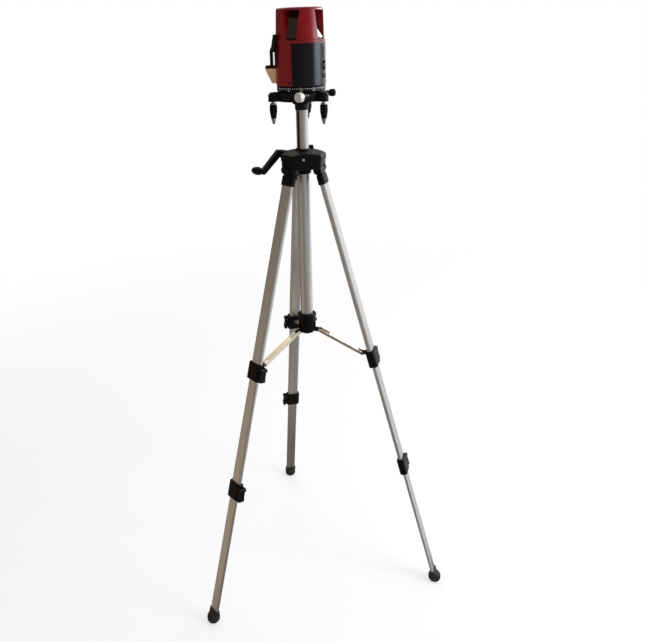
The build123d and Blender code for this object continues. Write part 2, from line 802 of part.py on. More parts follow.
base_outline = Circle(base_radius)
for azimuth in arm_azimuth.values():
    arm_shape = Pos(arm_circle / 2, 0) * SlotCenterToCenter(arm_circle, 2 * arm_end_radius)
    base_outline += Rot(0, 0, azimuth) * arm_shape
base = extrude(Plane.XY.offset(base_bottom) * base_outline, amount=base_height)
base = chamfer(rim(base, base_top), base_edge)
tangent_frame = Plane(
    origin=direction(tangent_azimuth + 90.0) * tangent_offset + Vector(0, 0, base_bottom + tangent_rise),
    x_dir=direction(tangent_azimuth),
    z_dir=(0, 0, 1),
).location
knob_inner = tangent_offset - tangent_knob_radius
tangent_boss_end = math.sqrt(base_radius ** 2 - knob_inner ** 2)
base += tangent_frame * rod_x(tangent_boss_radius, 0, tangent_boss_end)
tangent_face = tangent_boss_end + tangent_knob_gap
tangent_in = tangent_face - tangent_shaft_in
base -= tangent_frame * rod_x(tangent_shaft_radius + turn_fit, tangent_in - past, tangent_boss_end + past)
dial_lock_frame = radial_frame(dial_lock_azimuth, base_bottom + dial_lock_rise)
dial_lock_boss_end = base_radius + dial_lock_boss_out
dial_lock_face = dial_lock_boss_end + dial_lock_gap
base += dial_lock_frame * rod_x(dial_lock_boss, base_radius / 2, dial_lock_boss_end)
dial_lock_in = dial_lock_face - dial_lock_shank_in
base -= dial_lock_frame * rod_x(dial_lock_shank + turn_fit, dial_lock_in - past, 2 * base_radius)
base -= rod_z(stud_radius + seat_gap, base_bottom - past, stud_top + past)
screw_top = base_bottom + level_screw_in
for name, azimuth in arm_azimuth.items():
    place = direction(azimuth) * arm_circle
    bore_top = screw_top + level_bore_extra
    base -= rod_z(level_screw_radius + turn_fit, base_bottom - past, bore_top, place.X, place.Y)
    collar_high = base_bottom - level_collar_gap
    collar_low = collar_high - level_collar_height
    grip_high = collar_low - side_gap
    grip_low = grip_high - level_grip_length
    tip_high = grip_low - side_gap
    tip_low = tip_high - level_tip_length
    stud = rod_z(level_screw_radius, tip_high - past, screw_top)
    stud += rod_z(level_collar_radius, collar_low, collar_high)
    stud += turned([
        (0, tip_low),
        (level_tip_end, tip_low),
        (level_tip_radius, tip_high - level_tip_band),
        (level_tip_radius, tip_high),
        (0, tip_high),
    ])
    grip = turned([
        (0, grip_low),
        (level_grip_radius - level_grip_taper, grip_low),
        (level_grip_radius, grip_low + level_grip_swell),
        (level_grip_radius, grip_high - small_edge),
        (level_grip_radius - small_edge, grip_high),
        (0, grip_high),
    ])
    grip -= rod_z(level_screw_radius + turn_fit, grip_low - past, grip_high + past)
    pieces["level_screw_" + name] = Pos(place.X, place.Y, 0) * stud
    pieces["level_grip_" + name] = Pos(place.X, place.Y, 0) * grip
pieces["tribrach"] = base

tangent = rod_x(tangent_shaft_radius, tangent_in, tangent_face + past)
tangent_head = rod_x(tangent_knob_radius, tangent_face, tangent_face + tangent_knob_length)
tangent += chamfer(tangent_head.edges(), small_edge)
pieces["tangent_knob"] = tangent_frame * tangent

dial_lock = rod_x(dial_lock_shank, dial_lock_in, dial_lock_face + past)
dial_lock_head = rod_x(dial_lock_radius, dial_lock_face, dial_lock_face + dial_lock_length)
dial_lock += fillet(dial_lock_head.edges(), dial_lock_edge)
pieces["dial_lock_knob"] = dial_lock_frame * dial_lock

# Dial ring, laser body and head

dial = rod_z(dial_radius, base_top, dial_top)
dial = chamfer(rim(dial, dial_top) + rim(dial, base_top), dial_edge)
dial -= rod_z(pan_radius + slide_fit, base_top - past, dial_top + past)
pieces["dial_ring"] = dial

body = rod_z(body_radius, body_bottom, body_top)
body = chamfer(rim(body, body_bottom), body_edge)
body += rod_z(pan_radius, base_top + pan_gap, body_bottom + past)
switch_floor = body_radius - switch_depth
switch_mid = body_bottom + switch_rise
half_wide = switch_width / 2 + side_gap
half_tall = switch_height / 2 + switch_travel + side_gap
switch_frame = radial_frame(switch_azimuth, switch_mid)
body -= switch_frame * block(switch_floor, 2 * body_radius, -half_wide, half_wide, -half_tall, half_tall)
pieces["laser_body"] = body

slider = block(
    switch_floor + slide_fit,
    body_radius + switch_proud,
    -switch_width / 2,
    switch_width / 2,
    -switch_height / 2,
    switch_height / 2,
)
pieces["power_switch"] = switch_frame * chamfer(slider.edges().group_by(Axis.X)[-1], switch_edge)

rim_top = body_top + head_rim_height
head = turned([
    (0, body_top),
    (body_radius, body_top),
    (body_radius, rim_top - small_edge),
    (head_base_radius, rim_top),
    (head_top_radius, head_top),
    (0, head_top),
])
head = fillet(rim(head, head_top), head_edge)
window_low = rim_top
window_high = head_top - window_lintel
pane_rise = window_high - window_low
pane_plane = Plane(
    origin=(window_foot_radius - window_pane, 0, window_low),
    x_dir=(0, 1, 0),
    z_dir=(pane_rise, 0, window_run),
)
pane_sheet = pane_plane * Rectangle(window_width, 4 * pane_rise)
window_slab = block(0, 2 * body_radius, -body_radius, body_radius, window_low, window_high)
recess = extrude(pane_sheet, amount=body_radius, taper=-window_flare) & window_slab
pane = extrude(pane_sheet, amount=window_pane, taper=-window_flare) & window_slab
pane = pane & rod_z(head_base_radius - window_pane, window_low, window_high)
panes = []
for index in range(window_count):
    window_frame = radial_frame(window_azimuth + index * window_step, 0)
    head -= window_frame * recess
    panes.append(window_frame * pane)
pieces["laser_head"] = head
pieces["laser_windows"] = Compound(children=panes)

# Nose on the front of the body: curved window, hood with its guard bar and ledge, and the chin below


def sector(points, half_angle):
    """Part of a ring from an outline of radius and height, centred on the X axis."""
    outline = make_face(Plane.XZ * Polyline(*points, close=True))
    return Rot(0, 0, -half_angle) * revolve(outline, Axis.Z, revolution_arc=2 * half_angle)


chin_low = body_bottom + chin_rise
chin_high = chin_low + chin_height
ledge_high = chin_high + ledge_height
hood_low = ledge_high + pane_height
hood_high = hood_low + hood_height
nose_frame = radial_frame(nose_azimuth, 0)
hood_reach = body_radius + hood_out
hood = sector([
    (body_radius, hood_low),
    (hood_reach, hood_low),
    (hood_reach, hood_low + hood_lip),
    (body_radius + hood_slope_out, hood_low + hood_slope),
    (body_radius + hood_top_out, hood_high),
    (body_radius, hood_high),
], nose_half_angle)
body_core = rod_z(body_radius, body_bottom, head_top)
chin_half = chin_width / 2
ledge = block(body_radius / 2, body_radius + chin_out, -chin_half, chin_half, chin_high, ledge_high)
guard_half = guard_width / 2
guard_near = hood_reach - guard_thickness
guard = block(guard_near, hood_reach, -guard_half, guard_half, ledge_high, hood_low + hood_lip)
pieces["front_hood"] = nose_frame * (hood + guard + (ledge - body_core))

window_far = body_radius + pane_thickness
window = sector([
    (body_radius, ledge_high),
    (window_far, ledge_high),
    (window_far, hood_low),
    (body_radius, hood_low),
], nose_half_angle)
pieces["front_window"] = nose_frame * window

chin = side_plate([
    (body_radius / 2, chin_low),
    (body_radius + chin_bottom_out, chin_low),
    (body_radius + chin_out - chin_edge, chin_high - chin_brow),
    (body_radius + chin_out, chin_high),
    (body_radius / 2, chin_high),
], -chin_half, chin_half)
pieces["front_chin"] = nose_frame * (chin - body_core)

os.makedirs("parts", exist_ok=True)
for name, piece in pieces.items():
    export_step(piece, "parts/" + name + ".step")
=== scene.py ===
"""Finishes, small fittings and studio for a laser level on its cranked aluminium tripod."""

import json
import math

import bmesh
import bpy
from bpy.props import FloatProperty, FloatVectorProperty, IntProperty, PointerProperty
from mathutils import Matrix, Vector

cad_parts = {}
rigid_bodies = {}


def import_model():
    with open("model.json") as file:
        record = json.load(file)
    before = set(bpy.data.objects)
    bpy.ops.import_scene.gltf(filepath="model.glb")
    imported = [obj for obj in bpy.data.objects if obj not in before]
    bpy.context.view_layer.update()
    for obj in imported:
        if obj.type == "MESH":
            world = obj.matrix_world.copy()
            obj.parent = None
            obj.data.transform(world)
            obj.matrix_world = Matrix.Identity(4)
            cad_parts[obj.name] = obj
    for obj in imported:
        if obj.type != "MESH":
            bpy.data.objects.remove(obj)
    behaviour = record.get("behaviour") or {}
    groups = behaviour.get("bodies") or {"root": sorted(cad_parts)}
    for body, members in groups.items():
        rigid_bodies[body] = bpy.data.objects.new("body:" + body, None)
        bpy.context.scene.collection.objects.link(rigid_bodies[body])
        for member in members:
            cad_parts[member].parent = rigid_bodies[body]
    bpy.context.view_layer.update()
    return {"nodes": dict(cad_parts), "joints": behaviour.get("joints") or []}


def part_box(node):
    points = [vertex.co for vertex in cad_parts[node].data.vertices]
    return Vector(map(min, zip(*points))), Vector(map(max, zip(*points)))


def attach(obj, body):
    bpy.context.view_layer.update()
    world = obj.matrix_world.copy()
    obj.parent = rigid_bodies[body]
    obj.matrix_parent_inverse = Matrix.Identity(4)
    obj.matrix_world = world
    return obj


bl_info = {
    "name": "Laser level tripod",
    "version": (1, 0, 0),
    "blender": (4, 5, 0),
    "location": "View3D > Sidebar > Tripod",
    "description": "Finishes and small fittings of a laser level on its tripod, with a studio round it",
    "category": "Object",
}

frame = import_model()
legs = ("left", "right", "back")
upright = Matrix()
full_turn = 2 * math.pi


# Places that the frame gives

def joint(name):
    """One joint of the frame by name."""
    return next(entry for entry in frame["joints"] if entry["name"] == name)


def seat_on(place, axis):
    """Frame at a place with its Z along an axis."""
    turn = Vector(axis).to_track_quat("Z", "Y").to_matrix().to_4x4()
    return Matrix.Translation(Vector(place)) @ turn


def joint_seat(name):
    """Frame on a joint with its Z along the joint's axis."""
    entry = joint(name)
    return seat_on(entry["pos_m"], entry["axis"])


def leg_seat(name):
    """Frame on a leg's hinge: X out of the flat face, Y along the hinge, Z up the leg."""
    fold = joint("leg_" + name + "_fold")
    along = Vector(joint("middle_" + name + "_slide")["axis"])
    hinge = Vector(fold["axis"])
    turn = Matrix((hinge.cross(along), hinge, along)).transposed().to_4x4()
    return Matrix.Translation(Vector(fold["pos_m"])) @ turn


def wall_seat(azimuth, radius, height):
    """Frame on an upright round wall: X along the wall, Y up, Z straight out."""
    out = Vector((math.cos(azimuth), math.sin(azimuth), 0))
    side = Vector((-math.sin(azimuth), math.cos(azimuth), 0))
    turn = Matrix((side, Vector((0, 0, 1)), out)).transposed().to_4x4()
    return Matrix.Translation(out * radius + Vector((0, 0, height))) @ turn


def seen_from(node, seat):
    """Corners of a node's mesh in a seat's own frame."""
    inward = seat.inverted()
    return [inward @ corner.co for corner in frame["nodes"][node].data.vertices]


def barrel(node, seat, widest=0.985):
    """Radius and two ends of the widest round band of a node about a seat's Z axis."""
    corners = seen_from(node, seat)
    radius = max(math.hypot(p.x, p.y) for p in corners)
    band = [p.z for p in corners if math.hypot(p.x, p.y) > widest * radius]
    return radius, min(band), max(band)


def reach(node, seat):
    """Lowest and highest corner of a node in a seat's own frame."""
    corners = seen_from(node, seat)
    low = Vector([min(p[i] for p in corners) for i in range(3)])
    return low, Vector([max(p[i] for p in corners) for i in range(3)])


def on_surface(node, start, aim):
    """Frame where a straight line first meets a CAD node, with its Z out of the surface."""
    met, place, normal, face = frame["nodes"][node].ray_cast(Vector(start), Vector(aim))
    if not met:
        raise RuntimeError("no surface of " + node + " in that direction")
    return seat_on(place, normal)


pan_height = joint("laser_pan")["pos_m"][2]
body_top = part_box("laser_body")[1].z
body_radius = barrel("laser_body", upright)[0]


# Values that a user would change

def colour(name, description, default):
    """Colour property."""
    return FloatVectorProperty(
        name=name, description=description, default=default, size=3, min=0.0, max=1.0, subtype="COLOR"
    )


def number(name, description, default, **kind):
    """Number property of any kind."""
    return FloatProperty(name=name, description=description, default=default, **kind)


def length(name, description, default):
    """Length property in metres."""
    return number(name, description, default, min=0.0, precision=5, subtype="DISTANCE", unit="LENGTH")


def angle(name, description, default):
    """Angle property, given in degrees."""
    return number(name, description, math.radians(default), subtype="ANGLE", unit="ROTATION")


def power(name, description, default):
    """Lamp power in watts."""
    return number(name, description, default, min=0.0, unit="POWER")


class TripodColours(bpy.types.PropertyGroup):
    """Colours of the tripod and of the laser level."""
    tube: colour("Tube", "Satin aluminium of legs, guide tube and column", (0.62, 0.615, 0.61))
    # The brace's warm tint is a painted reflection of warm surroundings on plain bright metal.
    brace: colour("Brace", "Bright pressed metal of the braces", (0.74, 0.655, 0.535))
    moulding: colour("Moulding", "Black plastic of crown, caps, clamps and hub", (0.0032, 0.0031, 0.0032))
    knob: colour("Knob", "Black plastic of knobs, grips, levers and switch", (0.0030, 0.0030, 0.0032))
    rubber: colour("Rubber", "Rubber of the feet", (0.008, 0.0075, 0.0072))
    steel: colour("Steel", "Plated steel of the socket's pin and the crown's screw", (0.78, 0.775, 0.76))
    pin: colour("Pin", "Dark steel of hinge pins and shaft", (0.030, 0.028, 0.026))
    screw: colour("Screw", "Dull nickel of the levelling screws", (0.40, 0.37, 0.33))
    lacquer: colour("Lacquer", "Silver lacquer of the fine-turn knob", (0.66, 0.66, 0.65))
    casting: colour("Casting", "Black coat of base, dial and column head", (0.0030, 0.0030, 0.0033))
    housing: colour("Housing", "Red plastic of the laser level", (0.18, 0.0025, 0.0040))
    panel: colour("Panel", "Dark sheet on the side of the laser level", (0.0030, 0.0031, 0.0036))
    # The chin's tan cast is partly a painted reflection of warm light from the left; the plastic itself is
    # pale.
    chin: colour("Chin", "Pale plastic under the front window", (0.62, 0.36, 0.19))
    glass: colour("Glass", "Tinted glass of the windows", (0.0075, 0.0030, 0.0020))
    marks: colour("Marks", "Pale paint of dial marks", (0.72, 0.72, 0.70))


class TripodSizes(bpy.types.PropertyGroup):
    """Sizes of the fittings that the looks add."""
    rib_proud: length("Rib height", "How far ribs of knobs stand out", 0.00035)
    rib_width: length("Rib width", "Largest width of one rib of a knob", 0.0009)
    panel_proud: length("Panel thickness", "How far the dark sheet stands out of the body", 0.0005)
    panel_foot: length("Panel foot", "Height of the sheet's lower edge above the body's", 0.0003)
    panel_head: length("Panel head", "Distance of the sheet's upper edge below the body's", 0.0012)
    panel_start: angle("Panel start", "Azimuth of the sheet's first edge", 250.0)
    panel_end: angle("Panel end", "Azimuth of the sheet's last edge", 349.0)
    jack_radius: length("Socket radius", "Outer radius of the round socket", 0.0052)
    jack_drop: length("Socket drop", "Distance of the socket below the switch", 0.0185)
    screw_radius: length("Screw radius", "Radius of the small screw heads on the body", 0.0021)
    front_screw_radius: length("Front screw radius", "Radius of the screw head in the crown's front", 0.0029)
    switch_gap_width: length("Switch opening width", "Width of the opening round the switch", 0.0089)
    switch_gap_height: length("Switch opening height", "Height of the opening round the switch", 0.0147)
    switch_wall: length("Switch liner", "Thickness of the liner in the switch opening", 0.00013)
    switch_frame: length("Switch frame", "Width of the frame round the switch opening", 0.0022)
    grip_step: length("Grip step", "Spacing of the grip bars on a lever", 0.0013)
    grip_radius: length("Grip radius", "Radius of the grip bars on a lever", 0.0004)
    tread_step: length("Tread step", "Spacing of the tread rings on a foot", 0.0022)
    tread_radius: length("Tread radius", "Radius of the bead of a tread ring", 0.0007)
    mark_width: length("Mark width", "Width of one dial mark", 0.0011)
    number_size: length("Number size", "Height of the dial's numbers", 0.0032)
    mark_count: IntProperty(name="Marks", description="Marks round the dial", default=72, min=12)
    number_step: IntProperty(name="Number step", description="Degrees between numbers", default=30, min=10)


class TripodStudio(bpy.types.PropertyGroup):
    """Floor, lamps and camera."""
    floor_radius: length("Floor radius", "Radius of the pale floor", 9.0)
    floor_glow: number("Floor glow", "Light that the floor gives off, where 1 is white", 0.615, min=0.0)
    window_power: power("Window", "Power of the wide cool lamp at the right, which leaves no glint", 38.0)
    fill_power: power("Fill", "Power of the soft lamp at the right in front, which leaves no glint", 34.0)
    glow_power: power("Glow", "Power of the low lamp behind at the right, which only glossy faces show", 5.0)
    sheen_power: power("Sheen", "Power of the lamp at the right in front, which only glossy faces show", 13.0)
    pane_power: power("Pane", "Power of the high lamp at the right, which only glossy faces show", 82.0)
    top_power: power("Top", "Power of the lamp above and behind", 14.0)
    sky: number("Sky", "Level of the light from all round", 0.36, min=0.0)
    card_shade: colour("Card, shaded", "Card behind at the left and left in front", (0.19, 0.17, 0.145))
    card_left: colour("Card, left", "Card at the left", (0.48, 0.365, 0.26))
    card_front: colour("Card, front", "Card in front", (0.34, 0.32, 0.285))
    card_right: colour("Card, right", "Card at the right in front", (0.66, 0.67, 0.69))
    card_wall: number("Card, wall", "Share of the card's tone up its wall", 0.45, subtype="FACTOR")
    card_high: colour("Card, high", "Upper part of the card", (0.60, 0.48, 0.36))
    camera_side: length("Camera side", "How far the camera stands to the right of the column", 0.00821)
    camera_back: length("Camera distance", "Level distance of the camera from the column", 1.24664)
    camera_height: length("Camera height", "Height of the camera above the floor", 1.22190)
    camera_pitch: angle("Camera pitch", "How far the camera looks down", 20.172)
    camera_yaw: angle("Camera yaw", "How far the camera looks to the left", 1.855)
    camera_roll: angle("Camera roll", "How far the camera leans", 1.961)
    lens: number("Lens", "Focal length in millimetres", 35.586, min=1.0, unit="CAMERA")
    shift_x: number("Shift X", "Sideways shift of the lens", 0.05)
    shift_y: number("Shift Y", "Upright shift of the lens", -0.09)


# Node trees

def arithmetic(operation):
    """Two methods for a Math node: with a socket as its first term, and as its second."""
    def first(self, other):
        return self.math(operation, self, other)

    def second(self, other):
        return self.math(operation, other, self)

    return first, second


class Socket:
    """Output of a node. Arithmetic on it adds Math nodes to its tree."""

    def __init__(self, sheet, output):
        self.sheet = sheet
        self.output = output

    def math(self, operation, *terms):
        """One Math node on these terms."""
        return self.sheet.node("ShaderNodeMath", {"operation": operation}, dict(enumerate(terms)))

    __add__, __radd__ = arithmetic("ADD")
    __sub__, __rsub__ = arithmetic("SUBTRACT")
    __mul__, __rmul__ = arithmetic("MULTIPLY")
    __truediv__, __rtruediv__ = arithmetic("DIVIDE")

    def root(self):
        """Square root."""
        return self.math("SQRT", self)

    def between(self, low, high):
        """0 below low, 1 above high, and a soft step in between."""
        limits = {"Value": self, "From Min": low, "From Max": high}
        return self.sheet.node("ShaderNodeMapRange", {"interpolation_type": "SMOOTHSTEP"}, limits)

    def also(self, name):
        """Another output of the same node."""
        return Socket(self.sheet, self.output.node.outputs[name])


class Sheet:
    """Node tree that is being drawn."""

    def __init__(self, tree):
        self.tree = tree
        self.tree.nodes.clear()

    def node(self, kind, settings=None, inputs=None, output=0):
        """Adds a node, sets it up, then fills or links its inputs."""
        node = self.tree.nodes.new(kind)
        for key, value in (settings or {}).items():
            setattr(node, key, value)
        for key, value in (inputs or {}).items():
            if isinstance(value, Socket):
                self.tree.links.new(value.output, node.inputs[key])
            else:
                node.inputs[key].default_value = value
        return Socket(self, node.outputs[output]) if node.outputs else None


class Finish(Sheet):
    """Material for one kind of surface."""

    def __init__(self, name):
        self.material = bpy.data.materials.new(name)
        self.material.use_nodes = True
        super().__init__(self.material.node_tree)

    def place(self, seat=upright, stretch=(1.0, 1.0, 1.0)):
        """Object coordinates in a seat's frame, drawn out along its axes."""
        inputs = {
            "Vector": self.node("ShaderNodeTexCoord", output="Object"),
            "Location": seat.translation,
            "Rotation": seat.to_euler(),
            "Scale": stretch,
        }
        return self.node("ShaderNodeMapping", {"vector_type": "TEXTURE"}, inputs)

    def noise(self, place, scale, detail):
        """Cloudy noise from 0 to 1."""
        return self.node("ShaderNodeTexNoise", None, {"Vector": place, "Scale": scale, "Detail": detail})

    def grain(self, scale, detail, seat=upright, drawn=1.0):
        """Cloudy noise from 0 to 1, drawn out along its seat's Z axis."""
        return self.noise(self.place(seat, (1.0, 1.0, drawn)), scale, detail)

    def specks(self, scale, seat=upright):
        """Distance from scattered points, in parts of their spacing."""
        return self.node("ShaderNodeTexVoronoi", None, {"Vector": self.place(seat), "Scale": scale})

    def split(self, seat=upright):
        """First coordinate in a seat's frame, with the others beside it."""
        return self.node("ShaderNodeSeparateXYZ", None, {"Vector": self.place(seat)})

    def blend(self, share, first, second):
        """Colour between two colours."""
        first, second = (tone if isinstance(tone, Socket) else (*tone, 1.0) for tone in (first, second))
        return self.node("ShaderNodeMix", {"data_type": "RGBA"}, {0: share, 6: first, 7: second}, 2)

    def shades(self, share, tone, first, second):
        """Colour between two shades of one tone."""
        return self.blend(share, shade_of(tone, first), shade_of(tone, second))

    def rounded(self, radius):
        """Normal that rounds the edges, and a mask of those edges."""
        normal = self.node("ShaderNodeBevel", {"samples": 4}, {"Radius": radius})
        ground = self.node("ShaderNodeNewGeometry", output="Normal")
        pair = {0: normal, 1: ground}
        agreed = self.node("ShaderNodeVectorMath", {"operation": "DOT_PRODUCT"}, pair, "Value")
        return normal, (1.0 - agreed).between(0.02, 0.25)

    def relief(self, height, depth, normal):
        """Fine relief on top of a normal."""
        return self.node("ShaderNodeBump", None, {"Height": height, "Distance": depth, "Normal": normal})

    def done(self, tint, rough, normal, **others):
        """Closes the material in one shader. Names of its other inputs have _ for a blank."""
        inputs = {"Base Color": tint, "Roughness": rough, "Normal": normal}
        inputs.update((key.replace("_", " "), value) for key, value in others.items())
        return self.close(self.node("ShaderNodeBsdfPrincipled", None, inputs))

    def close(self, surface):
        """Ends the tree in a surface."""
        self.node("ShaderNodeOutputMaterial", None, {"Surface": surface})
        return self.material


def shade_of(tone, factor):
    """A colour made lighter or darker."""
    return tuple(min(1.0, part * factor) for part in tone)


# Finishes, with lengths in metres and scales of grain per metre

def drawn_aluminium(name, tone, seat):
    """Satin anodised tube with draw lines along its seat's Z axis and a few bright rubs."""
    finish = Finish(name)
    lines = finish.grain(1300, 3, seat, drawn=90)
    hairs = finish.grain(4200, 1, seat, drawn=240)
    haze = finish.grain(40, 4, seat, drawn=6)
    rubs = finish.grain(520, 2, seat, drawn=40).between(0.64, 0.74)
    spots = 1.0 - finish.specks(130, seat).between(0.03, 0.09)
    shade = 0.4 * lines + 0.2 * hairs + 0.4 * haze
    tint = finish.shades(shade.between(0.25, 0.8), tone, 0.93, 1.06)
    tint = finish.blend(0.25 * spots, tint, shade_of(tone, 0.55))
    normal, edge = finish.rounded(0.0004)
    rough = 0.30 + 0.08 * lines + 0.08 * haze - 0.05 * rubs + 0.15 * spots - 0.05 * edge
    normal = finish.relief(0.6 * lines + 0.4 * hairs, 0.000004, normal)
    return finish.done(tint, rough, normal, Metallic=1.0, Specular_Tint=(0.6, 0.63, 0.67, 1.0))


def pressed_metal(name, tone, seat):
    """Bright pressed sheet with roll marks along its seat's Z axis, and painted highlights along its edges.
    """
    finish = Finish(name)
    roll = finish.grain(1500, 3, seat, drawn=60)
    haze = finish.grain(60, 4, seat)
    normal, edge = finish.rounded(0.0005)
    tint = finish.shades(0.35 * roll + 0.65 * haze, tone, 0.92, 1.05)
    # Painted highlight: the edges are lightened towards white.
    tint = finish.blend(0.5 * edge, tint, (0.92, 0.91, 0.90))
    rough = 0.24 + 0.08 * roll + 0.1 * haze
    return finish.done(tint, rough, finish.relief(roll, 0.000003, normal), Metallic=1.0)


def moulded_plastic(name, tone, pebbles, rough, wear):
    """Black moulding with a spark-eroded grain, dust in it and paler worn edges."""
    finish = Finish(name)
    pebble = finish.grain(pebbles, 2)
    cloud = finish.grain(55, 4)
    dust = finish.grain(310, 5).between(0.55, 0.85) * cloud.between(0.4, 0.7)
    scratch = finish.noise(finish.place(stretch=(1, 14, 1)), 600, 2).between(0.7, 0.78)
    normal, edge = finish.rounded(0.0007)
    tint = finish.shades(cloud, tone, 0.75, 1.35)
    tint = finish.blend(0.02 * dust + 0.02 * scratch, tint, (0.36, 0.34, 0.32))
    tint = finish.blend(wear * edge * cloud.between(0.35, 0.65), tint, (0.04, 0.04, 0.043))
    roughness = rough + 0.16 * pebble + 0.1 * dust - 0.08 * edge
    normal = finish.relief(pebble - 0.5 * scratch, 0.00005, normal)
    return finish.done(tint, roughness, normal, Specular_IOR_Level=0.08)


def foot_rubber(name, tone):
    """Matt rubber, greyed by dust towards the floor."""
    finish = Finish(name)
    pores = finish.grain(1900, 3)
    cloud = finish.grain(120, 5)
    low = 1.0 - finish.split().also("Z").between(0.001, 0.014)
    dust = (0.25 + 0.75 * low) * cloud.between(0.4, 0.75)
    normal, edge = finish.rounded(0.0008)
    tint = finish.blend(0.4 * dust + 0.12 * edge * cloud, tone, (0.23, 0.21, 0.185))
    rough = 0.62 + 0.2 * pores + 0.12 * dust
    return finish.done(tint, rough, finish.relief(pores, 0.00008, normal))


def turned_steel(name, tone, seat):
    """Plated steel with the fine rings that a lathe leaves round its seat's Z axis."""
    finish = Finish(name)
    x = finish.split(seat)
    across = (x * x + x.also("Y") * x.also("Y")).root()
    profile = finish.node("ShaderNodeCombineXYZ", None, {"X": across, "Z": x.also("Z")})
    ring = finish.noise(profile, 5200, 2)
    stain = finish.grain(260, 4, seat)
    normal, edge = finish.rounded(0.0003)
    tint = finish.shades(0.55 * ring + 0.45 * stain, tone, 0.78, 1.12)
    rough = 0.16 + 0.14 * ring + 0.16 * stain.between(0.5, 0.8) - 0.05 * edge
    return finish.done(tint, rough, finish.relief(ring, 0.000008, normal), Metallic=1.0)


def coated_casting(name, tone):
    """Black paint on a casting, with a fine orange peel and metal showing at worn edges."""
    finish = Finish(name)
    peel = finish.grain(1400, 2)
    cloud = finish.grain(70, 4)
    chips = finish.grain(900, 4).between(0.6, 0.68)
    normal, edge = finish.rounded(0.0005)
    bare = edge * chips
    tint = finish.shades(cloud, tone, 0.7, 1.4)
    tint = finish.blend(0.7 * bare, tint, (0.42, 0.41, 0.40))
    rough = 0.3 + 0.14 * peel + 0.08 * cloud - 0.08 * edge
    normal = finish.relief(peel, 0.00003, normal)
    return finish.done(tint, rough, normal, Metallic=0.6 * bare, Specular_IOR_Level=0.14)


def glossy_housing(name, tone):
    """Glossy moulding with a faint orange peel, hairline scratches and softer worn edges."""
    finish = Finish(name)
    peel = finish.grain(750, 2)
    cloud = finish.grain(26, 3)
    slant = seat_on((0, 0, 0), (0.4, 0.3, 1.0))
    wipes = finish.grain(1300, 2, slant, drawn=45).between(0.66, 0.76)
    smudge = finish.grain(90, 5).between(0.5, 0.75)
    normal, edge = finish.rounded(0.0007)
    tint = finish.shades(cloud, tone, 0.86, 1.12)
    tint = finish.blend(0.22 * edge * smudge, tint, shade_of(tone, 1.9))
    rough = 0.24 + 0.05 * smudge + 0.08 * wipes + 0.03 * cloud
    normal = finish.relief(peel - 0.3 * wipes, 0.000012, normal)
    return finish.done(tint, rough, normal, Coat_Weight=0.1, Coat_Roughness=0.06, Specular_IOR_Level=0.28)


def tinted_glass(name, tone):
    """Dark window glass with dust, wiping marks in its roughness, and lighter upright streaks in its tint
    that are a painted reflection.
    """
    finish = Finish(name)
    wipe_and_sheen_streak = finish.grain(420, 3, drawn=9)
    dust = finish.grain(1500, 4).between(0.58, 0.75)
    haze = finish.grain(70, 3)
    normal, edge = finish.rounded(0.0003)
    # Lighter upright streaks in the tint are a painted reflection; in the roughness the same streaks are
    # wiping marks.
    tint = finish.blend(0.5 * haze + 0.3 * wipe_and_sheen_streak, tone, shade_of(tone, 2.6))
    tint = finish.blend(0.03 * dust + 0.1 * edge, tint, (0.25, 0.21, 0.18))
    rough = 0.06 + 0.1 * wipe_and_sheen_streak.between(0.5, 0.8) + 0.16 * dust
    return finish.done(tint, rough, normal, Coat_Weight=0.05, Coat_Roughness=0.04, Specular_IOR_Level=0.3)


def silver_lacquer(name, tone):
    """Silver lacquer with a fine flake, patches of dirt, and darker at its edges."""
    finish = Finish(name)
    flake = finish.specks(5200)
    dirt = finish.grain(330, 4).between(0.5, 0.8)
    normal, edge = finish.rounded(0.0004)
    tint = finish.shades(flake, tone, 1.08, 0.86)
    # Besides the dirt, the tint turns darker along every edge.
    tint = finish.blend(0.25 * dirt + 0.1 * edge, tint, (0.30, 0.28, 0.26))
    rough = 0.3 + 0.12 * flake + 0.14 * dirt
    return finish.done(tint, rough, normal, Metallic=0.5 + 0.2 * flake)


def panel_sheet(name, tone):
    """Satin dark sheet with a fine dot grain and faint finger marks."""
    finish = Finish(name)
    dots = finish.specks(2200)
    cloud = finish.grain(48, 4)
    rubs = finish.grain(700, 2, drawn=18).between(0.66, 0.78)
    normal, edge = finish.rounded(0.0004)
    tint = finish.shades(cloud, tone, 0.7, 1.5)
    tint = finish.blend(0.2 * edge + 0.01 * rubs, tint, (0.10, 0.10, 0.11))
    rough = 0.15 + 0.06 * dots + 0.06 * cloud.between(0.45, 0.75)
    return finish.done(tint, rough, finish.relief(dots, 0.00002, normal), Specular_IOR_Level=0.32)


def mark_paint(name, tone):
    """Printed paint, a little thin in places."""
    finish = Finish(name)
    thin = finish.grain(2600, 3)
    tint = finish.shades(thin.between(0.3, 0.7), tone, 0.72, 1.0)
    normal, edge = finish.rounded(0.0002)
    return finish.done(tint, 0.5 + 0.2 * thin - 0.1 * edge, normal)


finishes = {}


def finish(name, maker, *values, **named):
    """A finish by name, made once."""
    if name not in finishes:
        finishes[name] = maker("finish_" + name, *values, **named)
    return finishes[name]


def moulding(context):
    """Grained black plastic of crown, caps, hub, crank arm and hood."""
    tone = context.scene.tripod_colours.moulding
    return finish("moulding", moulded_plastic, tone, pebbles=1500, rough=0.36, wear=0.7)


def knob_plastic(context):
    """Smoother black plastic of knobs, grips, levers, switch and socket."""
    tone = context.scene.tripod_colours.knob
    return finish("knob_plastic", moulded_plastic, tone, pebbles=2600, rough=0.28, wear=0.6)


def casting(context):
    """Black coat of base, dial ring, column head and body screws."""
    return finish("casting", coated_casting, context.scene.tripod_colours.casting)


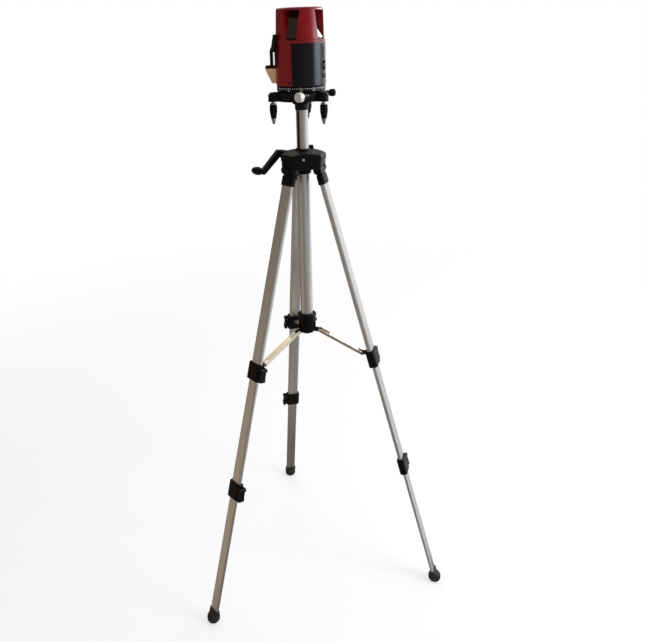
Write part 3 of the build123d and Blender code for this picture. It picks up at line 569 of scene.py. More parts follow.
def dress(mesh, material):
    """Gives a mesh one finish."""
    mesh.materials.clear()
    mesh.materials.append(material)


def paint(material, *nodes):
    """Gives CAD nodes a finish."""
    for name in nodes:
        dress(frame["nodes"][name].data, material)


# Shapes

def shown(name, data):
    """New object at the origin, in the scene."""
    piece = bpy.data.objects.new(name, data)
    bpy.context.scene.collection.objects.link(piece)
    return piece


def taken_from(carrier, material):
    """Plain mesh of what an object makes, with its finish. The object goes."""
    graph = bpy.context.evaluated_depsgraph_get()
    mesh = bpy.data.meshes.new_from_object(carrier.evaluated_get(graph))
    carrier.modifiers.clear()
    bpy.data.objects.remove(carrier)
    dress(mesh, material)
    return mesh


class Grower(Sheet):
    """Geometry Nodes tree with named inputs for its sizes."""

    def __init__(self, name, **sizes):
        super().__init__(bpy.data.node_groups.new(name, "GeometryNodeTree"))
        self.keys = {}
        for label, kind in {"Seeds": "Geometry", **sizes, "Finish": "Material"}.items():
            port = self.tree.interface.new_socket(label, in_out="INPUT", socket_type="NodeSocket" + kind)
            self.keys[label] = port.identifier
        self.tree.interface.new_socket("Shape", in_out="OUTPUT", socket_type="NodeSocketGeometry")
        self.inlet = self.node("NodeGroupInput")

    def size(self, label):
        """One of the tree's inputs."""
        return self.inlet.also(label)

    def vector(self, x, y, z):
        """Three numbers as one vector."""
        return self.node("ShaderNodeCombineXYZ", None, {0: x, 1: y, 2: z})

    def smooth(self, shape):
        """Smooth shading."""
        return self.node("GeometryNodeSetShadeSmooth", None, {0: shape})

    def moved(self, shape, **place):
        """Shape moved, turned or scaled."""
        return self.node("GeometryNodeTransform", None, {0: shape, **place})

    def facing(self, axis, aim):
        """Rotation that turns an axis towards an aim."""
        return self.node("FunctionNodeAlignRotationToVector", {"axis": axis}, {"Vector": aim})

    def outward(self):
        """Rotation that turns X away from the axis at each point."""
        return self.facing("X", self.node("GeometryNodeInputPosition"))

    def ring(self):
        """Points round the axis, by the tree's own count and radius."""
        sizes = {"Vertices": self.size("Count"), "Radius": self.size("Radius")}
        return self.node("GeometryNodeMeshCircle", None, sizes)

    def rod(self, sides, radius):
        """Smooth round rod of the tree's own length."""
        sizes = {"Vertices": sides, "Radius": radius, "Depth": self.size("Length")}
        return self.smooth(self.node("GeometryNodeMeshCylinder", None, sizes))

    def block(self, x, y, z):
        """Block with these sides."""
        return self.node("GeometryNodeMeshCube", None, {"Size": self.vector(x, y, z)})

    def repeat(self, points, shape, **turned):
        """Copies of a shape on points."""
        inputs = {"Points": points, "Instance": shape, **turned}
        return self.node("GeometryNodeInstanceOnPoints", None, inputs)

    def close(self, shape):
        """Ends the tree in a plain painted mesh."""
        whole = self.node("GeometryNodeRealizeInstances", None, {0: shape})
        painted = self.node("GeometryNodeSetMaterial", None, {0: whole, "Material": self.size("Finish")})
        self.node("NodeGroupOutput", None, {0: painted})
        return self

    def grow(self, material, seeds=(), edges=(), aims=(), **sizes):
        """Plain mesh of what the tree makes of these seeds and sizes."""
        mesh = bpy.data.meshes.new(self.tree.name)
        mesh.from_pydata(seeds, edges, [])
        if aims:
            aim = mesh.attributes.new("aim", "FLOAT_VECTOR", "POINT")
            aim.data.foreach_set("vector", [part for direction in aims for part in direction])
        carrier = shown(self.tree.name, mesh)
        modifier = carrier.modifiers.new(self.tree.name, "NODES")
        modifier.node_group = self.tree
        for label, value in {**sizes, "Finish": material}.items():
            modifier[self.keys[label]] = value
        made = taken_from(carrier, material)
        if not made.polygons:
            raise RuntimeError(self.tree.name + " made nothing")
        return made


def rib_ring():
    """Tree: rounded ribs side by side round a knob."""
    tree = Grower("rib_ring", Count="Int", Radius="Float", Width="Float", Proud="Float", Length="Float")
    rib = tree.rod(sides=8, radius=0.5 * tree.size("Width"))
    flat = tree.vector(2.0 * tree.size("Proud") / tree.size("Width"), 1.0, 1.0)
    rib = tree.moved(rib, Scale=flat)
    return tree.close(tree.repeat(tree.ring(), rib, Rotation=tree.outward()))


def mark_ring(thickness=0.0002):
    """Tree: upright marks round a dial, every so many of them longer."""
    lengths = {label: "Float" for label in ("Radius", "Width", "Short", "Long")}
    tree = Grower("mark_ring", Count="Int", Every="Int", **lengths)
    index = tree.node("GeometryNodeInputIndex")
    long_one = 1.0 - index.math("MODULO", index, tree.size("Every")).between(0.0, 1.0)
    tall = tree.size("Short") + long_one * (tree.size("Long") - tree.size("Short"))
    bar = tree.moved(tree.block(thickness, tree.size("Width"), 1.0), Translation=(0.0, 0.0, 0.5))
    stretch = tree.vector(1.0, 1.0, tall)
    return tree.close(tree.repeat(tree.ring(), bar, Rotation=tree.outward(), Scale=stretch))


def screw_heads():
    """Tree: cross-slotted screw heads on seeds, each facing along its aim."""
    tree = Grower("screw_heads", Radius="Float", Proud="Float")
    radius, proud = tree.size("Radius"), tree.size("Proud")
    sizes = {"Vertices": 28, "Radius Top": 0.78 * radius, "Radius Bottom": radius, "Depth": proud}
    dome = tree.node("GeometryNodeMeshCone", None, sizes)
    long_side, wide, deep = 1.15 * radius, 0.26 * radius, 1.2 * proud
    for slot in (tree.block(long_side, wide, deep), tree.block(wide, long_side, deep)):
        slot = tree.moved(slot, Translation=tree.vector(0.0, 0.0, proud))
        pair = {"Mesh 1": dome, "Mesh 2": slot}
        dome = tree.node("GeometryNodeMeshBoolean", {"operation": "DIFFERENCE"}, pair)
    aim = tree.node("GeometryNodeInputNamedAttribute", {"data_type": "FLOAT_VECTOR"}, {"Name": "aim"})
    return tree.close(tree.repeat(tree.size("Seeds"), dome, Rotation=tree.facing("Z", aim)))


def bead_loop():
    """Tree: round bead along loops of seeds."""
    tree = Grower("bead_loop", Radius="Float")
    loop = tree.node("GeometryNodeMeshToCurve", None, {0: tree.size("Seeds")})
    sizes = {"Resolution": 8, "Radius": tree.size("Radius")}
    section = tree.node("GeometryNodeCurvePrimitiveCircle", None, sizes)
    bead = tree.node("GeometryNodeCurveToMesh", None, {"Curve": loop, "Profile Curve": section})
    return tree.close(tree.smooth(bead))


def grip_ladder():
    """Tree: rounded bars along X, one above the other along Z."""
    tree = Grower("grip_ladder", Count="Int", Step="Float", Length="Float", Radius="Float")
    step = tree.vector(0.0, 0.0, tree.size("Step"))
    line = tree.node("GeometryNodeMeshLine", None, {"Count": tree.size("Count"), "Offset": step})
    bar = tree.rod(sides=10, radius=tree.size("Radius"))
    bar = tree.moved(bar, Rotation=(0.0, math.pi / 2, 0.0))
    return tree.close(tree.repeat(line, bar))


def grower(maker):
    """A tree by its maker, made once."""
    if not hasattr(maker, "tree"):
        maker.tree = maker()
    return maker.tree


def plain_mesh(shape, name, material):
    """Mesh of a finished bmesh with its material."""
    mesh = bpy.data.meshes.new(name)
    shape.to_mesh(mesh)
    shape.free()
    mesh.materials.append(material)
    return mesh


def fitting(name, body, slot, *shapes):
    """Joins meshes, each with its seat, to one piece that rides on a body."""
    whole = bmesh.new()
    for mesh, seat in shapes:
        mesh.transform(seat)
        whole.from_mesh(mesh)
    for face in whole.faces:
        face.material_index = 0
    bmesh.ops.recalc_face_normals(whole, faces=whole.faces)
    piece = shown(name, plain_mesh(whole, name, shapes[0][0].materials[0]))
    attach(piece, body)
    return piece


def lathe(material, outline, steps=40):
    """Turned shape from an outline of radius and height. It closes on itself unless it meets the axis."""
    shape = bmesh.new()
    rings = []
    for radius, height in outline:
        turns = [full_turn * step / steps for step in range(steps if radius else 1)]
        rings.append([shape.verts.new((radius * math.cos(t), radius * math.sin(t), height)) for t in turns])
    closed = all(radius for radius, height in outline)
    for lower, upper in zip(rings, rings[1:] + rings[:1] if closed else rings[1:]):
        for step in range(steps):
            corners = [lower[step % len(lower)], lower[(step + 1) % len(lower)]]
            corners += [upper[(step + 1) % len(upper)], upper[step % len(upper)]]
            shape.faces.new(list(dict.fromkeys(corners))).smooth = True
    bmesh.ops.recalc_face_normals(shape, faces=shape.faces)
    return plain_mesh(shape, "turned", material)


def wrapped_sheet(material, radius, thickness, heights, turns, opening, columns=60, eased=0.4):
    """Closed sheet laid round an upright wall, with one upright opening and eased edges."""
    start, end = turns
    left, right, sill, lintel = opening
    angles = sorted({start + (end - start) * step / columns for step in range(columns + 1)} | {left, right})
    levels = [heights[0], sill, lintel, heights[1]]
    shape = bmesh.new()
    skins = []
    for skin in (radius + thickness, radius - thickness):
        ways = [(skin * math.cos(turn), skin * math.sin(turn)) for turn in angles]
        skins.append([[shape.verts.new((x, y, level)) for level in levels] for x, y in ways])
    partner = {}
    for outer, inner in zip(*skins):
        partner.update(zip(outer, inner))
    for column in range(len(angles) - 1):
        middle = (angles[column] + angles[column + 1]) / 2
        for row, level in enumerate(levels[:-1]):
            if level == sill and left < middle < right:
                continue
            near, far = skins[0][column], skins[0][column + 1]
            cell = (near[row], far[row], far[row + 1], near[row + 1])
            shape.faces.new(cell)
            shape.faces.new([partner[corner] for corner in reversed(cell)])
    rims = [line for line in shape.edges if line.is_boundary and line.verts[0] in partner]
    for line in rims:
        first, second = line.verts
        shape.faces.new((first, second, partner[second], partner[first]))
    bmesh.ops.recalc_face_normals(shape, faces=shape.faces)
    bmesh.ops.bevel(shape, geom=rims, offset=eased * thickness, segments=2, profile=0.5, affect="EDGES")
    return plain_mesh(shape, "wrapped", material)


def loop_edges(count):
    """Edges that join points to one closed loop."""
    return [(step, (step + 1) % count) for step in range(count)]


def rounded_loop(corners, radius, height, steps=8):
    """Closed outline through corners, each rounded to a radius, at one height."""
    points = []
    for index, corner in enumerate(corners):
        back = (corners[index - 1] - corner).normalized()
        ahead = (corners[(index + 1) % len(corners)] - corner).normalized()
        half = back.angle(ahead) / 2
        middle = corner + (back + ahead).normalized() * (radius / math.sin(half))
        first = corner + back * (radius / math.tan(half)) - middle
        last = corner + ahead * (radius / math.tan(half)) - middle
        for step in range(steps + 1):
            points.append(middle + first.slerp(last, step / steps) * radius)
    return [(point.x, point.y, height) for point in points]


def stacked(material, loops):
    """Closed shape through rounded rectangles, each with its width, height, corner and level."""
    shape = bmesh.new()
    rings = []
    for width, height, corner, level in loops:
        x, y = width / 2, height / 2
        corners = [Vector((across * x, up * y, 0)) for across, up in ((-1, -1), (1, -1), (1, 1), (-1, 1))]
        rings.append([shape.verts.new(point) for point in rounded_loop(corners, corner, level)])
    for lower, upper in zip(rings, rings[1:]):
        for step, after in loop_edges(len(lower)):
            shape.faces.new((lower[step], lower[after], upper[after], upper[step]))
    shape.faces.new(rings[-1])
    shape.faces.new(reversed(rings[0]))
    return plain_mesh(shape, "stacked", material)


def bent_number(material, words, size, radius, azimuth, height, proud=0.00008):
    """Number laid round an upright wall, read from outside."""
    curve = bpy.data.curves.new("number", "FONT")
    curve.body, curve.size, curve.extrude, curve.resolution_u = words, size, proud, 4
    curve.align_x, curve.align_y = "CENTER", "CENTER"
    mesh = taken_from(shown("number", curve), material)
    for corner in mesh.vertices:
        turn = azimuth + corner.co.x / radius
        out = radius + corner.co.z
        corner.co = (out * math.cos(turn), out * math.sin(turn), height + corner.co.y)
    return mesh


def screws_on(seats, material, radius, proud=0.4):
    """Screw heads on seats, each standing out along its seat's Z by a share of its radius."""
    return grower(screw_heads).grow(
        material,
        [seat.translation for seat in seats],
        aims=[seat.col[2].xyz for seat in seats],
        Radius=radius,
        Proud=proud * radius,
    )


def ribbed_knob(context, node, axis, count, material=None, slot="knob_plastic"):
    """Paints a knob and puts ribs round its widest band, narrower where there are many."""
    inset_share, widest = 0.08, 4.4
    sizes = context.scene.tripod_sizes
    material = material or knob_plastic(context)
    paint(material, node)
    seat = joint_seat(axis)
    radius, low, high = barrel(node, seat)
    inset = inset_share * (high - low)
    ribs = grower(rib_ring).grow(
        material,
        Count=count,
        Radius=radius,
        Width=min(sizes.rib_width, widest * radius / count),
        Proud=sizes.rib_proud,
        Length=high - low - 2 * inset,
    )
    middle = Matrix.Translation((0, 0, (low + high) / 2))
    fitting(node + "_ribs", node, slot, (ribs, seat @ middle))


# Pieces

class TRIPOD_OT_leg_tubes(bpy.types.Operator):
    """Satin aluminium on the three tubes of each leg"""
    bl_idname = "tripod.leg_tubes"
    bl_label = "Leg tubes"

    def execute(self, context):
        tone = context.scene.tripod_colours.tube
        for name in legs:
            material = finish("leg_tube_" + name, drawn_aluminium, tone, leg_seat(name))
            paint(material, *(part + "_tube_" + name for part in ("upper", "middle", "lower")))
        return {"FINISHED"}


class TRIPOD_OT_braces(bpy.types.Operator):
    """Bright pressed metal on the braces"""
    bl_idname = "tripod.braces"
    bl_label = "Braces"

    def execute(self, context):
        # Its warm tint is a painted reflection of warm surroundings.
        tone = context.scene.tripod_colours.brace
        for name in legs:
            start = Vector(joint("brace_" + name + "_turn")["pos_m"])
            corners = (corner.co for corner in frame["nodes"]["brace_" + name].data.vertices)
            far = max(corners, key=lambda corner: (corner - start).length)
            paint(finish("brace_" + name, pressed_metal, tone, seat_on(start, far - start)), "brace_" + name)
        return {"FINISHED"}


class TRIPOD_OT_crown(bpy.types.Operator):
    """Grained plastic on crown, caps and bush, dark pins, the screw in front and the ribbed lock knob"""
    bl_idname = "tripod.crown"
    bl_label = "Crown"
    before_screw = (0.001, -0.3, 0.986)
    lock_ribs = 16

    def execute(self, context):
        colours = context.scene.tripod_colours
        paint(moulding(context), "crown", "column_bush", *("leg_cap_" + name for name in legs))
        paint(finish("pin_steel", turned_steel, colours.pin, upright), "hinge_pins")
        seat = on_surface("crown", self.before_screw, (0, 1, 0))
        steel = finish("front_screw", turned_steel, colours.steel, seat)
        screw = screws_on([seat], steel, context.scene.tripod_sizes.front_screw_radius)
        fitting("crown_screw", "crown", "bright_steel", (screw, upright))
        ribbed_knob(context, "lock_knob", "lock_knob_turn", self.lock_ribs)
        return {"FINISHED"}


class TRIPOD_OT_clamps(bpy.types.Operator):
    """Clamp collars, and flip levers with grip bars near their tips"""
    bl_idname = "tripod.clamps"
    bl_label = "Clamps and levers"
    bar_count = 3
    bar_share = 0.72
    first_bar = 0.7

    def execute(self, context):
        sizes = context.scene.tripod_sizes
        tone = context.scene.tripod_colours.moulding
        collar = finish("clamp_plastic", moulded_plastic, tone, pebbles=1900, rough=0.33, wear=0.7)
        for name in legs:
            seat = leg_seat(name)
            for part in ("upper", "lower"):
                lever = part + "_lever_" + name
                paint(collar, part + "_clamp_" + name)
                paint(knob_plastic(context), lever)
                low, high = reach(lever, seat)
                bars = grower(grip_ladder).grow(
                    knob_plastic(context),
                    Count=self.bar_count,
                    Step=sizes.grip_step,
                    Length=self.bar_share * (high.x - low.x),
                    Radius=sizes.grip_radius,
                )
                first = Vector(((low.x + high.x) / 2, high.y, low.z + sizes.grip_step * self.first_bar))
                fitting(lever + "_grip", lever, "lever_plastic", (bars, seat @ Matrix.Translation(first)))
        return {"FINISHED"}


class TRIPOD_OT_hub(bpy.types.Operator):
    """Spreader hub with its ribbed knob"""
    bl_idname = "tripod.hub"
    bl_label = "Spreader hub"
    knob_ribs = 14

    def execute(self, context):
        paint(moulding(context), "spreader_hub")
        ribbed_knob(context, "hub_knob", "hub_knob_turn", self.knob_ribs)
        return {"FINISHED"}


class TRIPOD_OT_feet(bpy.types.Operator):
    """Rubber feet with tread rings"""
    bl_idname = "tripod.feet"
    bl_label = "Feet"
    ring_count = 3
    ring_points = 48
    flat_below = 0.00002

    def execute(self, context):
        sizes = context.scene.tripod_sizes
        rubber = finish("foot_rubber", foot_rubber, context.scene.tripod_colours.rubber)
        for name in legs:
            node = "foot_" + name
            paint(rubber, node)
            points, edges = self.tread(node, sizes.tread_step)
            rings = grower(bead_loop).grow(rubber, points, edges, Radius=sizes.tread_radius)
            fitting(node + "_tread", "lower_" + name, "foot_rubber", (rings, upright))
        return {"FINISHED"}

    def tread(self, node, step):
        """Points and edges of level rings round the ball of a foot."""
        corners = [corner.co for corner in frame["nodes"][node].data.vertices]
        flat = [corner for corner in corners if corner.z < self.flat_below]
        middle = Vector([(min(c[i] for c in flat) + max(c[i] for c in flat)) / 2 for i in range(2)])
        flat_radius = max((corner.xy - middle).length for corner in flat)
        ball_radius = max((corner.xy - middle).length for corner in corners if corner.z < flat_radius)
        ball_height = math.sqrt(ball_radius ** 2 - flat_radius ** 2)
        points, edges = [], []
        for ring in range(self.ring_count):
            height = (ring + 1) * step
            radius = math.sqrt(ball_radius ** 2 - (height - ball_height) ** 2)
            start = len(points)
            for point in range(self.ring_points):
                turn = full_turn * point / self.ring_points
                x = middle.x + radius * math.cos(turn)
                points.append((x, middle.y + radius * math.sin(turn), height))
            edges += [(start + a, start + b) for a, b in loop_edges(self.ring_points)]
        return points, edges


class TRIPOD_OT_column(bpy.types.Operator):
    """Column and guide tube, the rack and the column head"""
    bl_idname = "tripod.column"
    bl_label = "Column"

    def execute(self, context):
        colours = context.scene.tripod_colours
        paint(finish("column_aluminium", drawn_aluminium, colours.tube, upright), "column_tube", "guide_tube")
        rack = finish("rack_plastic", moulded_plastic, colours.moulding, pebbles=2200, rough=0.4, wear=0.5)
        paint(rack, "column_rack")
        paint(casting(context), "column_head")
        return {"FINISHED"}


class TRIPOD_OT_crank(bpy.types.Operator):
    """Crank shaft, arm and knob"""
    bl_idname = "tripod.crank"
    bl_label = "Crank"

    def execute(self, context):
        colours = context.scene.tripod_colours
        paint(finish("shaft_steel", turned_steel, colours.pin, joint_seat("crank_turn")), "crank_shaft")
        paint(moulding(context), "crank_arm")
        paint(knob_plastic(context), "crank_knob")
        return {"FINISHED"}


class TRIPOD_OT_base(bpy.types.Operator):
    """Three-armed base with its levelling feet and knobs"""
    bl_idname = "tripod.base"
    bl_label = "Base"
    grip_ribs = 24
    tangent_ribs = 44
    dial_lock_ribs = 24

    def execute(self, context):
        colours = context.scene.tripod_colours
        paint(casting(context), "tribrach")
        for name in legs:
            grip = "level_grip_" + name
            steel = finish("level_steel_" + name, turned_steel, colours.screw, joint_seat(grip + "_turn"))
            paint(steel, "level_screw_" + name)
            ribbed_knob(context, grip, grip + "_turn", self.grip_ribs)
        bright = finish("silver_lacquer", silver_lacquer, colours.lacquer)
        ribbed_knob(context, "tangent_knob", "tangent_knob_spin", self.tangent_ribs, bright, "bright_steel")
        ribbed_knob(context, "dial_lock_knob", "dial_lock_turn", self.dial_lock_ribs)
        return {"FINISHED"}


class TRIPOD_OT_dial(bpy.types.Operator):
    """Dial ring with its marks and numbers"""
    bl_idname = "tripod.dial"
    bl_label = "Dial"
    marks_to_long = 6
    short_share = 0.2
    long_share = 0.36
    mark_drop = 0.42
    number_rise = 0.28

    def execute(self, context):
        sizes = context.scene.tripod_sizes
        paint(casting(context), "dial_ring")
        white = finish("mark_paint", mark_paint, context.scene.tripod_colours.marks)
        radius, low, high = barrel("dial_ring", upright)
        band = high - low
        marks = grower(mark_ring).grow(
            white,
            Count=sizes.mark_count,
            Every=self.marks_to_long,
            Radius=radius,
            Width=sizes.mark_width,
            Short=self.short_share * band,
            Long=self.long_share * band,
        )
        place = Matrix.Translation((0, 0, high - self.mark_drop * band))
        fitting("dial_marks", "column", "black_metal", (marks, place))
        height = low + self.number_rise * band
        numbers = []
        for turn in range(0, 360, sizes.number_step):
            words = bent_number(white, str(turn), sizes.number_size, radius, math.radians(turn), height)
            numbers.append((words, upright))
        fitting("dial_numbers", "column", "black_metal", *numbers)
        return {"FINISHED"}


class TRIPOD_OT_housing(bpy.types.Operator):
    """Red body and head with the dark side sheet, socket, switch frame, rib and screws"""
    bl_idname = "tripod.housing"
    bl_label = "Housing"
    # Radius and height in parts of the socket's radius
    socket_outline = (
        (0, -0.15), (1, -0.15), (1, 0.12), (0.92, 0.22), (0.74, 0.22), (0.66, 0.14), (0.66, 0.02), (0, 0.02)
    )
    pin_outline = ((0, 0), (0.18, 0), (0.18, 0.16), (0.108, 0.22), (0, 0.22))
    pin_sides = 20
    # Levels from the wall outwards, and what the top edges are eased by
    frame_root = -0.0012
    rib_root = -0.0008
    shoulder = 0.0004
    crest = 0.0007
    eased = 0.0006
    liner_floor = 0.00004
    under_switch = 0.00005
    rib_width = 0.0022
    rib_height = 0.023
    rib_turn = -0.05
    rib_rise = 0.0225
    screw_azimuths = (243, 123, 3)
    screw_rise = 0.0056

    def execute(self, context):
        red = finish("red_housing", glossy_housing, context.scene.tripod_colours.housing)
        paint(red, "laser_body", "laser_head")
        paint(knob_plastic(context), "power_switch")
        low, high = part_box("power_switch")
        middle = (low + high) / 2
        azimuth = math.atan2(middle.y, middle.x) % full_turn
        wall = body_radius + context.scene.tripod_sizes.panel_proud
        self.panel(context, azimuth, middle.z)
        self.socket(context, azimuth, wall, middle.z)
        self.switch(context, azimuth, middle.z)
        self.rib(context, azimuth, wall, middle.z)
        self.screws(context)
        return {"FINISHED"}

    def panel(self, context, azimuth, height):
        """Dark sheet round the side of the body, open round the switch."""
        sizes = context.scene.tripod_sizes
        half_turn = sizes.switch_gap_width / 2 / body_radius
        half_rise = sizes.switch_gap_height / 2
        sheet = wrapped_sheet(
            finish("panel_sheet", panel_sheet, context.scene.tripod_colours.panel),
            body_radius,
            sizes.panel_proud,
            heights=(pan_height + sizes.panel_foot, body_top - sizes.panel_head),
            turns=(sizes.panel_start, sizes.panel_end),
            opening=(azimuth - half_turn, azimuth + half_turn, height - half_rise, height + half_rise),
        )
        fitting("side_panel", "laser", "black_plastic", (sheet, upright))

    def socket(self, context, azimuth, wall, height):
        """Round socket below the switch, with its pin."""
        sizes = context.scene.tripod_sizes
        rim = sizes.jack_radius
        seat = wall_seat(azimuth, wall, height - sizes.jack_drop)
        cup = [(radius * rim, level * rim) for radius, level in self.socket_outline]
        fitting("socket", "laser", "black_plastic", (lathe(knob_plastic(context), cup), seat))
        pin = [(radius * rim, level * rim) for radius, level in self.pin_outline]
        steel = finish("socket_steel", turned_steel, context.scene.tripod_colours.steel, seat)
        fitting("socket_pin", "laser", "bright_steel", (lathe(steel, pin, steps=self.pin_sides), seat))

    def switch(self, context, azimuth, height):
        """Frame round the switch, with a liner and a floor in its opening."""
        sizes = context.scene.tripod_sizes
        seat = wall_seat(azimuth, body_radius, height)
        floor = reach("power_switch", seat)[0].z - self.under_switch
        liner, border = 2 * sizes.switch_wall, 2 * sizes.switch_frame
        loops = [
            (sizes.switch_gap_width + grown, sizes.switch_gap_height + grown, corner, level)
            for grown, corner, level in (
                (liner, 0.0004, floor - self.liner_floor),
                (liner, 0.0004, self.frame_root),
                (border, 0.0016, self.frame_root),
                (border, 0.0016, self.shoulder),
                (border - self.eased, 0.0013, self.crest),
                (self.eased, 0.0006, self.crest),
                (0.0, 0.0003, self.shoulder),
                (0.0, 0.0003, floor),
            )
        ]
        fitting("switch_frame", "laser", "black_plastic", (stacked(knob_plastic(context), loops), seat))

    def rib(self, context, azimuth, wall, height):
        """Upright rib above the switch."""
        loops = (
            (self.rib_width, self.rib_height, 0.001, self.rib_root),
            (self.rib_width, self.rib_height, 0.001, self.shoulder),
            (self.rib_width - self.eased, self.rib_height - self.eased, 0.0007, self.crest),
        )
        seat = wall_seat(azimuth + self.rib_turn, wall, height + self.rib_rise)
        fitting("side_rib", "laser", "black_plastic", (stacked(knob_plastic(context), loops), seat))

    def screws(self, context):
        """Screws low on the body."""
        height = pan_height + self.screw_rise
        seats = [wall_seat(math.radians(turn), body_radius, height) for turn in self.screw_azimuths]
        heads = screws_on(seats, casting(context), context.scene.tripod_sizes.screw_radius)
        fitting("body_screws", "laser", "black_metal", (heads, upright))


class TRIPOD_OT_front(bpy.types.Operator):
    """Windows, hood and chin of the laser level"""
    bl_idname = "tripod.front"
    bl_label = "Windows and nose"

    def execute(self, context):
        colours = context.scene.tripod_colours
        paint(finish("window_glass", tinted_glass, colours.glass), "laser_windows", "front_window")
        paint(moulding(context), "front_hood")
        # The chin's tan tone is partly a painted reflection of warm light.
        paint(finish("chin_plastic", glossy_housing, colours.chin), "front_chin")
        return {"FINISHED"}


class TRIPOD_OT_studio(bpy.types.Operator):
    """Pale floor, soft lamps, a warm card that only glossy faces show, and the camera"""
    bl_idname = "tripod.studio"
    bl_label = "Studio"
    # Size, colour and place of each lamp, and the height on the column that it faces
    lamps = {
        "window": ((3.4, 2.2), (0.78, 0.89, 1.0), (2.0, 0.75, 1.1), 1.1),
        "fill": ((1.2, 1.6), (1.0, 0.98, 0.95), (2.2, -1.0, 1.7), 0.9),
        "glow": ((2.2, 1.3), (0.84, 0.91, 1.0), (1.48, 1.48, 0.7), 0.7),
        "sheen": ((1.2, 0.7), (0.80, 0.89, 1.0), (2.08, -0.29, 1.25), 1.25),
        "pane": ((2.2, 0.85), (0.88, 0.93, 1.0), (1.95, 0.79, 1.88), 1.88),
        "top": ((1.6, 1.6), (1.0, 0.98, 0.95), (-0.3, 1.4, 2.6), 0.7),
    }
    glintless = ("window", "fill")
    only_glint = ("glow", "sheen", "pane")
    off_tubes = ("sheen", "pane")
    # Two tones of the paper's grain, and the radii between which the floor turns white
    paper_tones = ((0.44, 0.44, 0.44), (0.46, 0.46, 0.46))
    floor_fade = (0.7, 2.6)
    floor_rings = (0, 0.5, 1.5, 3.0)
    floor_sides = 64
    # Radius and height of the card's bends from its foot up, and the degrees of its columns
    card_bends = ((0.05, 0.004), (0.9, 0.004), (2.2, 0.25), (3.0, 1.1), (3.0, 1.9), (3.0, 3.2), (1.0, 4.2))
    card_foot = ((0.05, 0.004), (0.35, 0.004))
    card_turns = range(84, 445, 3)
    wall_end = 331
    near_radius = 1.0
    wall_above = 1.0
    high_above = 2.0

    def execute(self, context):
        studio = context.scene.tripod_studio
        self.world(context.scene, studio)
        self.floor(studio)
        self.card(studio)
        for name, facts in self.lamps.items():
            lamp = self.lamp(name, getattr(studio, name + "_power"), *facts)
            lamp.visible_glossy = name not in self.glintless
            lamp.visible_diffuse = name not in self.only_glint
            if name in self.off_tubes:
                self.spare_tubes(lamp)
        self.camera(context.scene, studio)
        return {"FINISHED"}

    def seen(self, sheet):
        """1 for rays from the camera, a mirror or glass, otherwise 0."""
        rays = sheet.node("ShaderNodeLightPath", output="Is Camera Ray")
        shown_ray = rays.math("MAXIMUM", rays, rays.also("Is Glossy Ray"))
        return rays.math("MAXIMUM", shown_ray, rays.also("Is Transmission Ray"))

    def world(self, scene, studio):
        """White to look at, and a soft light from all round."""
        scene.world = bpy.data.worlds.new("studio")
        scene.world.use_nodes = True
        sheet = Sheet(scene.world.node_tree)
        soft = sheet.node("ShaderNodeBackground", None, {"Color": (1, 1, 1, 1), "Strength": studio.sky})
        white = sheet.node("ShaderNodeBackground", None, {"Color": (1, 1, 1, 1), "Strength": 1.0})
        mixed = sheet.node("ShaderNodeMixShader", None, {0: self.seen(sheet), 1: soft, 2: white})
        sheet.node("ShaderNodeOutputWorld", None, {"Surface": mixed})

    def floor(self, studio):
        """Pale paper that takes the shadow and fades to white away from the tripod."""
        paper = Finish("floor_paper")
        x = paper.split()
        distance = (x * x + x.also("Y") * x.also("Y")).root()
        tint = paper.blend(paper.grain(900, 3), *self.paper_tones)
        matt = paper.node("ShaderNodeBsdfDiffuse", None, {"Color": tint})
        glow = paper.node("ShaderNodeEmission", None, {"Color": (1, 1, 1, 1), "Strength": studio.floor_glow})
        near = paper.node("ShaderNodeAddShader", None, {0: matt, 1: glow})
        white = paper.node("ShaderNodeEmission", None, {"Color": (1, 1, 1, 1), "Strength": 1.0})
        faded = distance.between(*self.floor_fade)
        paper.close(paper.node("ShaderNodeMixShader", None, {0: faded, 1: near, 2: white}))
        rings = [(radius, 0.0) for radius in (*self.floor_rings, studio.floor_radius)]
        shown("floor", lathe(paper.material, rings, steps=self.floor_sides))

    def card(self, studio):
        """Card from behind round the left to the right front, which neither camera nor matt faces see."""
        warm = Finish("warm_card")
        tone = warm.node("ShaderNodeAttribute", {"attribute_name": "tone"})
        warm.close(warm.node("ShaderNodeEmission", None, {"Color": tone, "Strength": 1.0}))
        shape = bmesh.new()
        columns = []
        for turn in self.card_turns:
            way = Vector((math.cos(math.radians(turn)), math.sin(math.radians(turn)), 0))
            rows = self.card_bends if turn <= self.wall_end else self.card_foot
            columns.append([shape.verts.new(way * out + Vector((0, 0, up))) for out, up in rows])
        for near, far in zip(columns, columns[1:]):
            for row in range(min(len(near), len(far)) - 1):
                shape.faces.new((near[row], far[row], far[row + 1], near[row + 1]))
        mesh = plain_mesh(shape, "warm_card", warm.material)
        tones = mesh.color_attributes.new("tone", "FLOAT_COLOR", "POINT")
        for corner, entry in zip(mesh.vertices, tones.data):
            entry.color = (*self.card_tone(studio, corner.co), 1.0)
        card = shown("warm_card", mesh)
        card.visible_camera = card.visible_shadow = card.visible_diffuse = False

    def card_tone(self, studio, place):
        """Colour of the card at a place: by its azimuth, darker near the legs and up the wall."""
        shade, left, front, right, high = (
            Vector(getattr(studio, "card_" + name)) for name in ("shade", "left", "front", "right", "high")
        )
        if place.z > self.high_above:
            return high
        stops = [(0, shade), (150, shade), (180, left), (205, left), (232, shade)]
        if place.xy.length < self.near_radius:
            stops += [(360, front)]
        else:
            stops += [(266, front), (self.wall_end, right)]
        turn = math.degrees(math.atan2(place.y, place.x)) % 360
        for (start, first), (end, second) in zip(stops, stops[1:]):
            if turn <= end:
                tone = first.lerp(second, (turn - start) / (end - start))
                return tone * (studio.card_wall if place.z > self.wall_above else 1.0)
        raise RuntimeError("no card at this azimuth")

